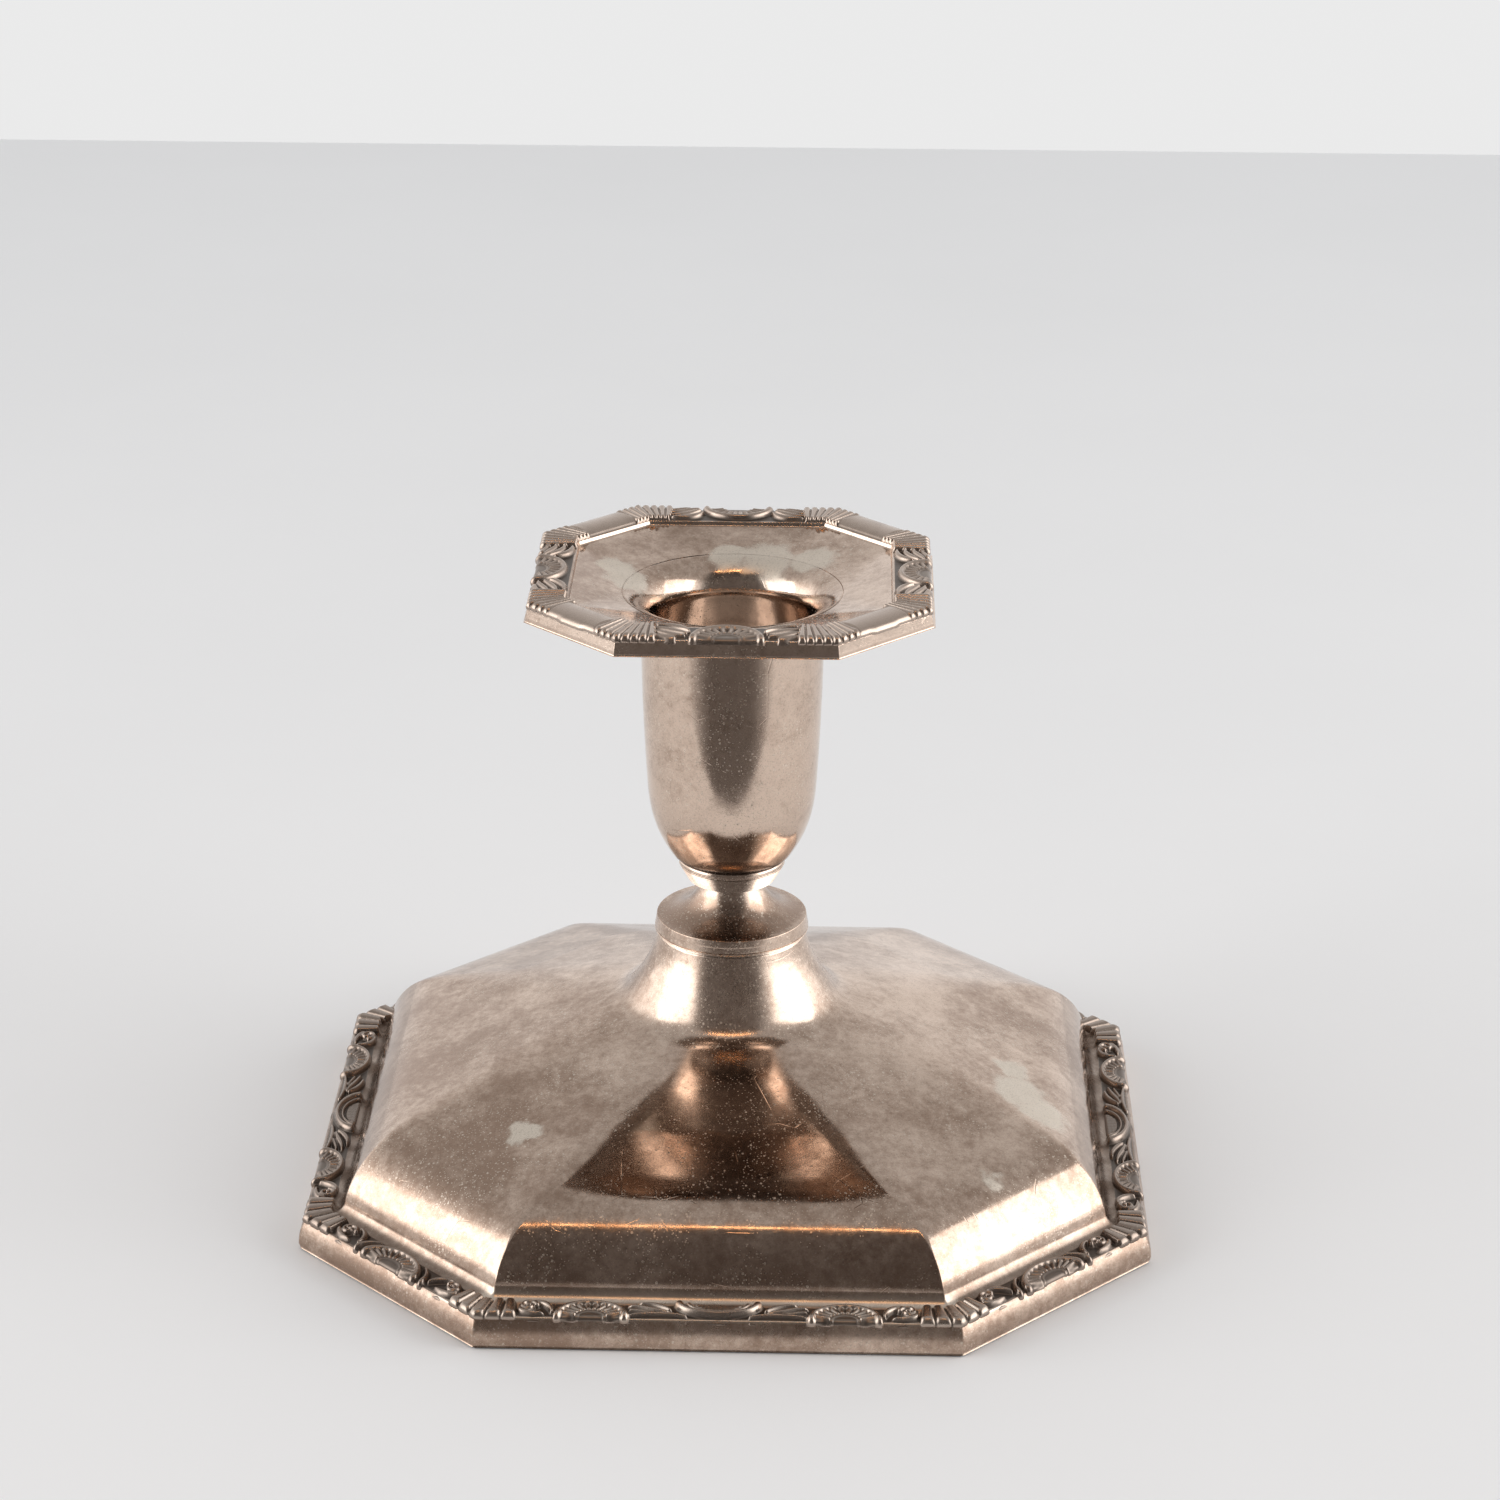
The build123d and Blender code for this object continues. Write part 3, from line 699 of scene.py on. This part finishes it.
class BuildBaseShell(bpy.types.Operator):
    """Build the pressed base: apron, ledge, dome and neck in one skin"""

    bl_idname = "candlestick.build_base_shell"
    bl_label = "Base shell"

    def execute(self, context):
        base = context.scene.candlestick_base
        hole = context.scene.candlestick_stem.rod_hole
        half_width = reach_of("base_shell")
        neck_top = top_of("base_shell")
        neck_lid = neck_top - 1.2 * MM
        cavity = half_width - base.apron_lean - base.sheet
        dome = [ring for ring in dome_rings(base, 0.0) if ring[3] > base.ledge + base.foot_round]
        lining = [ring for ring in dome_rings(base, base.sheet) if base.ledge < ring[3] < neck_lid]
        apron = rounded(
            [
                (half_width - base.sheet, base.apron_foot),
                (half_width, base.apron_foot),
                (half_width, base.apron_break),
                (half_width - base.apron_lean, base.ledge),
                (base.foot_half_width, base.ledge),
                (dome[0][0], dome[0][3]),
            ],
            [0.25 * MM, base.apron_round, 0.3 * MM, base.foot_round],
            step=0.8 * MM,
        )

        def beside_edge(reach, height):
            return (reach, base.half_flat - (half_width - reach) * CANT, 0.8 * MM, height)

        rings = [beside_edge(reach, height) for reach, height in apron[:-1]]
        rings += dome
        rings += [(hole, hole * CANT, hole * ALMOST_ROUND, height) for height in (neck_top, neck_lid)]
        rings += reversed(lining)
        rings += [beside_edge(cavity, height) for height in (base.ledge - base.sheet, base.apron_foot)]
        add_plate("base_skin", lofted(rings), "candlestick", "base_shell")
        return {"FINISHED"}


class BuildStem(bpy.types.Operator):
    """Build the turned knop and the foot ring over it"""

    bl_idname = "candlestick.build_stem"
    bl_label = "Knop and foot ring"

    def execute(self, context):
        stem = context.scene.candlestick_stem
        neck_top = bottom_of("stem_knop")
        knop_top = top_of("stem_knop")
        lip_radius = reach_of("stem_knop")
        lip_top = neck_top + stem.lip_thickness
        rim = neck_top + stem.dish_height
        centre = rim + stem.cove_radius
        angles = np.linspace(pi / 2, np.arcsin((centre - knop_top) / stem.cove_radius), 28)
        cove = np.column_stack([np.cos(angles), np.sin(angles)])
        cove = (stem.dish_radius, centre) - stem.cove_radius * cove
        edge = rounded(
            [
                (stem.rod_hole, neck_top),
                (lip_radius, neck_top),
                (lip_radius, lip_top),
                (stem.band_radius - 0.05 * MM, lip_top),
                (stem.band_radius, (lip_top + rim) / 2),
                (stem.dish_radius, rim),
                tuple(cove[1]),
            ],
            mm(0.2, 0.26, 0.1, 1.6, 0.15),
        )
        profile = np.concatenate([edge[:-1], cove[1:], [(stem.rod_hole, knop_top)]])
        add_plate("knop", turned(profile), "candlestick", "stem_knop")

        ring_top = top_of("socket_foot_ring")
        side_top = knop_top + stem.ring_height
        profile = rounded(
            [
                (stem.rod_hole, knop_top),
                (stem.ring_under_radius, knop_top),
                (stem.ring_radius, knop_top),
                (stem.ring_radius, side_top),
                (stem.ring_neck_radius, side_top),
                (stem.ring_neck_radius + (ring_top - side_top) * 0.7, ring_top),
                (stem.rod_hole, ring_top),
            ],
            mm(0.0, 1.3, 0.18, 0.08, 0.1),
        )
        add_plate("foot_ring", turned(profile), "candlestick", "socket_foot_ring")
        return {"FINISHED"}


CUP_LEAN = radians(55)


def cup_side(socket, foot_radius, foot_height, inset):
    """The cup's side from its foot to its rim: a round belly and a gentle swell above it."""
    top = top_of("socket_cup")
    rise = top - bottom_of("socket_cup") - socket.belly_height
    centre = (reach_of("socket_cup") - socket.swell_radius - inset, top)
    angles = np.linspace(np.arcsin(rise / socket.swell_radius), 0.0, 16)
    swell = centre + socket.swell_radius * np.column_stack([np.cos(angles), -np.sin(angles)])
    start = np.array([foot_radius, foot_height])
    out = start + 3.6 * MM * np.array([cos(CUP_LEAN), sin(CUP_LEAN)])
    under = swell[0] - 4.8 * MM * np.array([sin(angles[0]), cos(angles[0])])
    return np.concatenate([[start], bezier(start, out, under, swell[0]), swell[1:]])


class BuildSocketCup(bpy.types.Operator):
    """Build the spun cup that holds the nozzle"""

    bl_idname = "candlestick.build_socket_cup"
    bl_label = "Socket cup"

    def execute(self, context):
        socket = context.scene.candlestick_socket
        hole = context.scene.candlestick_stem.rod_hole
        bottom = bottom_of("socket_cup")
        floor = bottom + socket.cup_floor
        floor_radius = socket.cup_foot_radius - socket.cup_wall + socket.cup_floor / tan(CUP_LEAN)
        outside = cup_side(socket, socket.cup_foot_radius, bottom, 0.0)
        inside = cup_side(socket, floor_radius, floor, socket.cup_wall)
        profile = np.concatenate([[(hole, bottom)], outside, inside[::-1], [(hole, floor)]])
        add_plate("cup", turned(profile), "candlestick", "socket_cup")
        return {"FINISHED"}


class BuildNozzle(bpy.types.Operator):
    """Build the lift-out nozzle: flared mouth, collar and sleeve"""

    bl_idname = "candlestick.build_nozzle"
    bl_label = "Nozzle"

    def execute(self, context):
        socket = context.scene.candlestick_socket
        pan = context.scene.candlestick_pan
        gap = 0.05 * MM
        lap = 0.03 * MM
        brim_width = 0.25 * MM
        bottom = bottom_of("nozzle_sleeve")
        mouth = top_of("nozzle_sleeve")
        seat = top_of("socket_cup") + gap
        collar = reach_of("socket_cup") + 0.6 * MM
        lip = pan.mouth_radius - gap
        flange = reach_of("nozzle_sleeve")
        flange_top = mouth - pan.wall - gap
        flange_foot = flange_top - socket.flange_thickness
        outer = socket.bore_radius + socket.sleeve_wall
        stop_top = bottom + socket.stop_thickness
        slope = pan.floor_rise / (pan.floor_half_width - pan.mouth_radius)
        brim = pan.mouth_radius + brim_width
        brim_height = mouth + brim_width * slope
        profile = rounded(
            [
                (socket.stop_radius, bottom),
                (outer, bottom),
                (outer, seat),
                (collar, seat),
                (collar, flange_foot),
                (flange, flange_foot),
                (flange, flange_top),
                (lip, flange_top),
                (lip, mouth + lap / 3),
                (brim, brim_height + lap / 3),
                (brim, brim_height + lap),
                (socket.bore_radius, brim_height + lap - (brim - socket.bore_radius) * slope),
                (socket.bore_radius, stop_top),
                (socket.stop_radius, stop_top),
                (socket.stop_radius, bottom),
            ],
            mm(0.1, 0, 0.15, 0.1, 0.15, 0.15, 0, 0, 0, 0) + [socket.throat_radius] + mm(0.2, 0.1),
        )
        add_plate("nozzle_tube", turned(profile[:-1]), "nozzle", "nozzle_sleeve")
        return {"FINISHED"}


class BuildDripPan(bpy.types.Operator):
    """Build the drip pan: apron, ledge and a floor that falls to the round mouth"""

    bl_idname = "candlestick.build_drip_pan"
    bl_label = "Drip pan"

    def execute(self, context):
        pan = context.scene.candlestick_pan
        half_width = reach_of("drip_pan")
        ledge = top_of("drip_pan")
        foot = ledge - pan.apron_height
        mouth = top_of("nozzle_sleeve")
        floor = mouth + pan.floor_rise
        wall = pan.wall
        brim = half_width - pan.apron_lean
        steps = rounded(
            [
                (half_width - wall, foot),
                (half_width, foot),
                (brim, ledge),
                (pan.floor_half_width, ledge),
                (pan.floor_half_width - 0.15 * MM, floor),
                (pan.mouth_radius, mouth),
                (pan.mouth_radius, mouth - wall),
                (pan.floor_half_width + wall, floor - wall + 0.2 * MM),
                (pan.floor_half_width + wall, ledge - wall),
                (brim - wall, ledge - wall),
                (half_width - wall, foot),
            ],
            mm(0.2, 0.25, 0.15, 0.3, 0.12, 0.1, 0.3, 0.2, 0.2),
            step=0.6 * MM,
        )
        sharp = 0.3 * MM
        rings = []
        for reach, height in steps[:-1]:
            flat = pan.half_flat - (half_width - reach) * CANT
            inward = (pan.floor_half_width - reach) / (pan.floor_half_width - pan.mouth_radius)
            inward = min(max(inward, 0.0), 1.0)
            flat += (reach * CANT - flat) * inward
            rings.append((reach, flat, sharp + (ALMOST_ROUND * reach - sharp) * inward**1.5, height))
        add_plate("pan", lofted(rings), "nozzle", "drip_pan")
        return {"FINISHED"}


# Chased ornament: relief from 0 to 1 at a place along and across a border, in millimetres


GROUND = 0.1
# Fans: how far they reach from a corner, their focus behind it, the angle of a lobe and the lobes on a strip
BASE_FAN = (6.2, 12.1, 11.0, 2)
PAN_LONG_FAN = (5.4, 12.0, 6.0, 4)
PAN_SHORT_FAN = (4.8, 12.0, 6.0, 3)


def tallest(*reliefs):
    """The highest of some reliefs at each place."""
    return reduce(np.maximum, reliefs)


def bead(distance, half_width):
    """A half-round line: 1 on its middle, 0 from half_width away."""
    return np.sqrt(np.clip(1.0 - (distance / half_width) ** 2, 0.0, 1.0))


def stroke(along, across, path, widths, height):
    """A raised line along a path of points that swells and thins with its half widths."""
    beads = (bead(np.hypot(along - x, across - y), width) for (x, y), width in zip(path, widths))
    return height * tallest(*beads)


def leaves(along, across, curves):
    """Raised leaves along cubic curves: four points, the thickest half width and the height of each."""
    swelling = np.sin(np.linspace(0.15, pi, 24)) ** 0.8
    tip = 0.15
    return tallest(
        *(
            stroke(along, across, bezier(*points), tip + (thickest - tip) * swelling, height)
            for *points, thickest, height in curves
        )
    )


def volute(along, across, x, y, radius):
    """The coiled end of a scroll: a ring round an eye."""
    turn = np.linspace(-0.4 * pi, 2.3 * pi, 48)
    reach = np.linspace(0.78, 0.12, 48) * radius
    path = zip(x + reach * np.sin(turn), y + reach * np.cos(turn))
    return stroke(along, across, path, np.linspace(0.30, 0.20, 48) * radius, 0.85)


def shell(along, across, centre, half_width, depth, ribs):
    """A scallop that opens to the outer edge: a thick rim, a ribbed hollow and one arc within it."""
    x = (along - centre) / half_width
    y = across / depth
    radius = np.hypot(x, y)
    angle = np.arctan2(y, x)
    rim = 0.9 * bead(radius - 0.88, 0.12)
    hollow = 0.5 + 1.8 * (radius - 0.62) ** 2
    hollow += 0.34 * (np.abs(np.cos(angle * ribs / 2)) - 0.6)
    relief = np.where(radius < 0.9, 0.3, 0.0)
    relief = np.where((radius > 0.42) & (radius < 0.82), hollow, relief)
    relief = np.maximum(relief, 0.45 * bead(radius - 0.36, 0.06))
    return np.maximum(relief, rim)


def fan(from_corner, across, focus, lobe_angle, lobes):
    """Gadroons that spread from a focus behind a mitred corner, with narrow grooves between them."""
    lean = radians(67.5)
    x = focus - from_corner * cos(lean) - across * sin(lean)
    y = from_corner * sin(lean) - across * cos(lean)
    angle = np.degrees(np.arctan2(y, x))
    lobe = np.abs(np.mod(angle / lobe_angle + 0.5, 1.0) - 0.5) * 2
    inside = angle < lobe_angle * (lobes + 0.5)
    rounding = np.sqrt(np.clip(1.0 - lobe**3.2, 0.0, 1.0))
    return np.where(inside, 0.1 + 0.8 * rounding, 0.0)


def with_fans(relief, tip, across, reach, focus, lobe_angle, lobes):
    """Relief whose ends give way to fans of gadroons."""
    gadroons = fan(tip, across, focus, lobe_angle, lobes)
    return np.where(tip < reach, np.maximum(relief * (tip > reach - 0.5), gadroons), relief)


def base_long_side(along, across, half_length, width):
    """Relief of a long side: fan, scroll, shell and leaves on each side of an inward shell."""
    along = np.abs(along)
    inward = np.hypot(along / 6.3, (across - width) / (width * 0.97))
    dots = 0.36 + 0.12 * np.abs(np.sin(along * 6.2) * np.sin(across * 6.2))
    curves = (
        ((6.3, 1.5), (7.2, 2.4), (8.2, 3.3), (10.6, 3.35), 0.55, 0.8),
        ((6.6, 1.3), (8.4, 1.5), (9.6, 2.5), (12.0, 2.75), 0.5, 0.75),
        ((8.6, 1.2), (10.0, 1.3), (10.8, 1.8), (11.9, 1.9), 0.35, 0.6),
        ((4.0, 0.4), (6.8, 1.0), (9.2, 0.9), (12.2, 0.45), 0.4, 0.7),
        ((22.4, 0.8), (22.4, 2.6), (23.4, 3.5), (25.0, 3.5), 0.6, 0.75),
        ((27.3, 2.6), (27.2, 1.2), (25.8, 0.5), (23.6, 0.6), 0.5, 0.7),
    )
    relief = tallest(
        GROUND,
        0.95 * bead(inward - 0.84, 0.12),
        0.7 * bead(inward - 0.64, 0.08),
        np.where(inward < 0.52, dots, 0.0),
        leaves(along, across, curves),
        shell(along, across, 17.1, 5.2, width * 0.98, 22),
        volute(along, across, 25.6, 2.2, 1.5),
    )
    return with_fans(relief, half_length - along, across, *BASE_FAN)


def base_short_side(along, across, half_length, width):
    """Relief of a canted side: one large shell between scrolls and fans."""
    along = np.abs(along)
    flank = np.hypot(along / 7.3, across / (width * 1.1))
    curves = (
        ((7.7, 0.8), (7.8, 2.4), (8.8, 3.5), (10.4, 3.5), 0.6, 0.75),
        ((13.2, 2.6), (13.0, 1.1), (11.6, 0.5), (9.4, 0.6), 0.5, 0.7),
    )
    relief = tallest(
        GROUND,
        shell(along, across, 0.0, 5.9, width * 0.98, 24),
        0.85 * bead(flank - 0.95, 0.07) * (across < width * 0.75),
        leaves(along, across, curves),
        volute(along, across, 11.3, 2.2, 1.5),
    )
    return with_fans(relief, half_length - along, across, *BASE_FAN)


def pan_long_side(along, across, half_length, width):
    """Relief of a long side of the pan: fan, leaves and one shell in the middle."""
    along = np.abs(along)
    curves = (
        ((5.0, 2.2), (5.8, 3.9), (7.2, 4.7), (9.6, 4.5), 0.65, 0.85),
        ((5.3, 1.4), (6.8, 2.4), (7.8, 3.5), (10.0, 3.5), 0.6, 0.8),
        ((5.5, 0.7), (7.2, 0.9), (8.4, 2.2), (10.0, 2.4), 0.55, 0.75),
        ((6.8, 0.4), (8.0, 0.4), (9.2, 1.0), (10.2, 1.3), 0.4, 0.65),
    )
    relief = tallest(GROUND, shell(along, across, 0.0, 5.2, width * 0.88, 22), leaves(along, across, curves))
    return with_fans(relief, half_length - along, across, *PAN_LONG_FAN)


def pan_short_side(along, across, half_length, width):
    """Relief of a canted side of the pan: fans at both ends of a plain, thick roll."""
    roll = GROUND + 0.9 * bead(across - width * 0.46, width * 0.5)
    return with_fans(roll, half_length - np.abs(along), across, *PAN_SHORT_FAN)


def soften(relief, reach):
    """Relief with its edges smoothed over a reach in grid points."""
    margin = 3 * reach
    weights = np.exp(-0.5 * (np.arange(-margin, margin + 1) / reach) ** 2)
    weights /= weights.sum()

    def smooth(line):
        return np.convolve(np.pad(line, margin, mode="edge"), weights, mode="valid")

    return np.apply_along_axis(smooth, 1, np.apply_along_axis(smooth, 0, relief))


# Borders and inner parts


SUNK = 0.08 * MM  # How deep a strip lies in its ledge
INNER_FADE = 0.35 * MM  # Width over which the relief dies out at a strip's inner edge
Border = namedtuple("Border", "reliefs edge flat ledge width height grain roll")


def border_plan(shell_node, sizes, reliefs, ledge, width, height):
    """Where a border lies on the ledge of a shell, and how it is made."""
    chasing = bpy.context.scene.candlestick_border
    edge = reach_of(shell_node) - sizes.apron_lean
    flat = sizes.half_flat - sizes.apron_lean * CANT
    return Border(reliefs, edge, flat, ledge, width, height, chasing.grain, chasing.edge_round)


def border_strip(border, number):
    """Points, faces and tarnish of one strip of a border, cut to the mitres at its two ends."""
    canted = number % 2
    roll = border.roll
    reach = (border.edge + border.flat) / sqrt(2) if canted else border.edge
    half_length = (border.edge - border.flat) / sqrt(2) if canted else border.flat
    rolled = roll * pi / 2
    girth = rolled + border.width - roll
    across = np.linspace(0.0, girth, ceil(girth / border.grain) + 1)
    along = np.linspace(-1.0, 1.0, 2 * ceil(half_length / border.grain) + 1)[:, None]
    lean = np.clip(across / roll, 0.0, pi / 2)
    out = reach - roll + roll * np.cos(lean) - np.clip(across - rolled, 0.0, None)
    up = border.ledge - roll + roll * np.sin(lean) - SUNK

    place = along * (half_length - (reach - out) * CANT)
    depth = np.broadcast_to(reach - out + roll * (1 - np.sin(lean)), place.shape)
    relief = border.reliefs[canted](place / MM, depth / MM, half_length / MM, border.width / MM)
    relief = soften(relief, 1)
    inner = np.clip((girth - across) / INNER_FADE, 0.0, 1.0)
    beside_edges = soften(relief, 4) - relief
    below_middle = 0.58 - relief
    tarnish = np.clip(3.2 * beside_edges + 2.2 * below_middle, 0.0, 1.0) * (0.3 + 0.7 * inner)
    beside_fan = np.clip(half_length * (1.0 - np.abs(along)) / MM - BASE_FAN[0], 0.0, 1.0)
    brim = 0.1 + 0.35 * beside_fan
    outer = brim + (1.0 - brim) * np.clip(across / rolled, 0.0, 1.0)
    lift = relief * border.height * np.sqrt(inner) * outer

    out = out + lift * np.cos(lean)
    up = up + lift * np.sin(lean)
    place = along * (half_length - (reach - out) * CANT)
    turn = radians(45 * number)
    x = place * cos(turn) + out * sin(turn)
    y = place * sin(turn) - out * cos(turn)
    top = np.stack([x, y, up], axis=2)
    under = top[:, [-1, 0]]
    levels = (border.ledge - 0.1 * MM, border.ledge - roll - SUNK)
    under[:, :, 2] = np.minimum(levels, under[:, :, 2] - 0.02 * MM)
    points = np.concatenate([top, under], axis=1)
    tarnish = np.pad(tarnish, ((0, 0), (0, 2)), constant_values=1.0)
    return points.reshape(-1, 3), ring_faces(*points.shape[:2], joined=False), tarnish.reshape(-1)


def add_border(name, node, body, border):
    """The eight strips of a border, each in place of its packed node."""
    chased = finish("chased_silver", silver_finish, True)
    for number, side in enumerate(SIDES):
        *shape, tarnish = border_strip(border, number)
        piece = add_piece(f"{name}_{side}", shape, body, "silver_ornament", chased, f"{node}_{side}")
        attribute = piece.data.attributes.new("tarnish", "FLOAT", "POINT")
        attribute.data.foreach_set("value", tarnish.astype(np.float32))


class BuildBaseBorder(bpy.types.Operator):
    """Build the chased border round the base"""

    bl_idname = "candlestick.build_base_border"
    bl_label = "Base border"

    def execute(self, context):
        base = context.scene.candlestick_base
        sizes = context.scene.candlestick_border
        reliefs = (base_long_side, base_short_side)
        border = border_plan("base_shell", base, reliefs, base.ledge, sizes.base_width, sizes.base_relief)
        add_border("foot_border", "base_border", "candlestick", border)
        return {"FINISHED"}


class BuildPanBorder(bpy.types.Operator):
    """Build the chased border round the drip pan"""

    bl_idname = "candlestick.build_pan_border"
    bl_label = "Pan border"

    def execute(self, context):
        pan = context.scene.candlestick_pan
        sizes = context.scene.candlestick_border
        reliefs = (pan_long_side, pan_short_side)
        border = border_plan("drip_pan", pan, reliefs, top_of("drip_pan"), sizes.pan_width, sizes.pan_relief)
        add_border("rim_border", "pan_border", "nozzle", border)
        return {"FINISHED"}


STEEL_NODES = ("tie_rod", "socket_nut", "neck_nut", "neck_washer", "base_plate")


class FinishInnerParts(bpy.types.Operator):
    """Give the rod, nuts, washer, filling, plate and felt their finishes"""

    bl_idname = "candlestick.finish_inner_parts"
    bl_label = "Inner parts"

    def execute(self, context):
        finishes = {
            finish("turned_steel", steel_finish): STEEL_NODES,
            finish("pitch_filling", pitch_finish): ("base_filling",),
            finish("green_felt", felt_finish): ("felt_pad",),
        }
        for material, nodes in finishes.items():
            for node in nodes:
                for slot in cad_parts[node].material_slots:
                    slot.material = material
        return {"FINISHED"}


# Stage


def add_lamp(name, place, size, power, tint):
    """A soft rectangular lamp that shines on the candlestick's middle and isn't seen itself."""
    lamp = bpy.data.lights.new(name, "AREA")
    lamp.shape = "RECTANGLE"
    lamp.size, lamp.size_y = size
    lamp.energy = power
    lamp.color = tint
    holder = bpy.data.objects.new(name, lamp)
    holder.location = place
    holder.rotation_euler = (Vector((0.0, 0.0, 0.04)) - Vector(place)).to_track_quat("-Z", "Y").to_euler()
    holder.visible_camera = False
    bpy.context.scene.collection.objects.link(holder)


def add_stage_sheet(name, corners, material):
    """A flat part of the stage, not of the candlestick."""
    mesh = bpy.data.meshes.new(name)
    mesh.from_pydata(corners, [], [(0, 1, 2, 3)])
    mesh.shade_smooth()
    mesh.materials.append(material)
    part = bpy.data.objects.new(name, mesh)
    bpy.context.scene.collection.objects.link(part)
    return part


def studio_world(colours):
    """A white room that is bright at its two sides, grey overhead and dark in front."""
    world = bpy.data.worlds.new("studio")
    world.use_nodes = True
    tree = world.node_tree
    toward = tree.nodes.new("ShaderNodeTexCoord").outputs["Generated"]
    parts = add_node("ShaderNodeSeparateXYZ", {0: toward}).outputs
    up = parts["Z"]
    aside = combine("ABSOLUTE", parts["X"], 0.0)
    front = times(parts["Y"], -1.0)
    level = remap(up, 0.1, 0.95, 0.95, 0.52)
    sides = times(remap(aside, 0.55, 0.95), remap(up, 0.85, 0.35))
    spread = combine("DIVIDE", aside, largest(front, 0.01))
    dark = times(remap(front, 0.27, 0.45), remap(spread, 1.3, 0.6), 0.85)
    lit = combine("SUBTRACT", 1.0, dark)
    seen = tree.nodes.new("ShaderNodeLightPath").outputs["Is Camera Ray"]
    strength = times(plus(level, sides), lit, remap(seen, 0.0, 1.0, 1.0, 0.87))
    wire(tree.nodes["Background"], {"Color": rgba(colours.room), "Strength": strength})
    return world


def add_camera(settings):
    """The camera, turned round the candlestick, raised and rolled."""
    lens = bpy.data.cameras.new("camera")
    lens.lens = settings.lens
    lens.sensor_width = 36.0
    lens.clip_end = 50.0
    camera = bpy.data.objects.new("camera", lens)
    camera.matrix_world = (
        Matrix.Rotation(settings.turn, 4, "Z")
        @ Matrix.Translation((settings.target_right, 0.0, settings.target_height))
        @ Matrix.Rotation(pi / 2 - settings.elevation, 4, "X")
        @ Matrix.Rotation(settings.roll, 4, "Z")
        @ Matrix.Translation((0.0, 0.0, settings.distance))
    )
    bpy.context.scene.collection.objects.link(camera)
    return camera


class SetStage(bpy.types.Operator):
    """Set the table, the studio light and the camera"""

    bl_idname = "candlestick.set_stage"
    bl_label = "Stage"

    def execute(self, context):
        scene = context.scene
        settings = scene.candlestick_stage
        scene.view_settings.view_transform = "Standard"
        scene.world = studio_world(scene.candlestick_finish)
        scene.camera = add_camera(settings)

        far = 4.0
        back = 0.64
        corners = [(-far, -far, 0.0), (far, -far, 0.0), (far, back, 0.0), (-far, back, 0.0)]
        add_stage_sheet("table", corners, finish("table_top", table_finish))

        side = settings.card_width / 2
        front = -settings.card_distance
        top = settings.card_height
        corners = [(-side, front, 0.0), (side, front, 0.0), (side, front, top), (-side, front, top)]
        # The card is seen only in reflections: a painted dark reflection of the room in front.
        dark = finish("dark_reflection_card", card_finish, settings.card_width, settings.card_height)
        card = add_stage_sheet("front_reflection_card", corners, dark)
        card.visible_camera = False
        card.visible_diffuse = False
        card.visible_shadow = False

        white = (1.0, 0.995, 0.985)
        warm = (1.0, 0.55, 0.25)
        add_lamp("left_softbox", (-1.0, -0.35, 0.45), (0.9, 0.8), settings.power, white)
        add_lamp("right_softbox", (1.0, -0.1, 0.45), (0.9, 0.8), settings.power, white)
        add_lamp("warm_strip", (0.0, -0.35, 0.9), (0.5, 0.02), 0.45, warm)
        return {"FINISHED"}


# Add-on


class CandlestickPanel(bpy.types.Panel):
    """Lists the candlestick's sizes, colours and pieces in the sidebar"""

    bl_idname = "VIEW3D_PT_candlestick"
    bl_label = "Silver candlestick"
    bl_space_type = "VIEW_3D"
    bl_region_type = "UI"
    bl_category = "Candlestick"

    def draw(self, context):
        layout = self.layout
        for operator in OPERATORS:
            layout.operator(operator.bl_idname)
        for name, group in GROUPS.items():
            box = layout.box()
            box.label(text=group.__doc__)
            settings = getattr(context.scene, name)
            for field in group.__annotations__:
                box.prop(settings, field)


GROUPS = {
    "candlestick_base": BaseSizes,
    "candlestick_stem": StemSizes,
    "candlestick_socket": SocketSizes,
    "candlestick_pan": PanSizes,
    "candlestick_border": BorderSizes,
    "candlestick_finish": FinishColours,
    "candlestick_stage": StageSettings,
}
OPERATORS = (
    SetStage,
    BuildBaseShell,
    BuildStem,
    BuildSocketCup,
    BuildNozzle,
    BuildDripPan,
    BuildBaseBorder,
    BuildPanBorder,
    FinishInnerParts,
)


def register():
    """Make the properties, the operators and the panel known to Blender."""
    for name, group in GROUPS.items():
        bpy.utils.register_class(group)
        setattr(bpy.types.Scene, name, bpy.props.PointerProperty(type=group))
    for operator in OPERATORS:
        bpy.utils.register_class(operator)
    bpy.utils.register_class(CandlestickPanel)


def unregister():
    """Take everything back out again."""
    bpy.utils.unregister_class(CandlestickPanel)
    for operator in reversed(OPERATORS):
        bpy.utils.unregister_class(operator)
    for name, group in reversed(GROUPS.items()):
        delattr(bpy.types.Scene, name)
        bpy.utils.unregister_class(group)


def main():
    """Register the add-on and build every piece of the dressed candlestick."""
    register()
    for operator in OPERATORS:
        getattr(bpy.ops.candlestick, operator.bl_idname.partition(".")[2])()


if __name__ == "__main__":
    main()
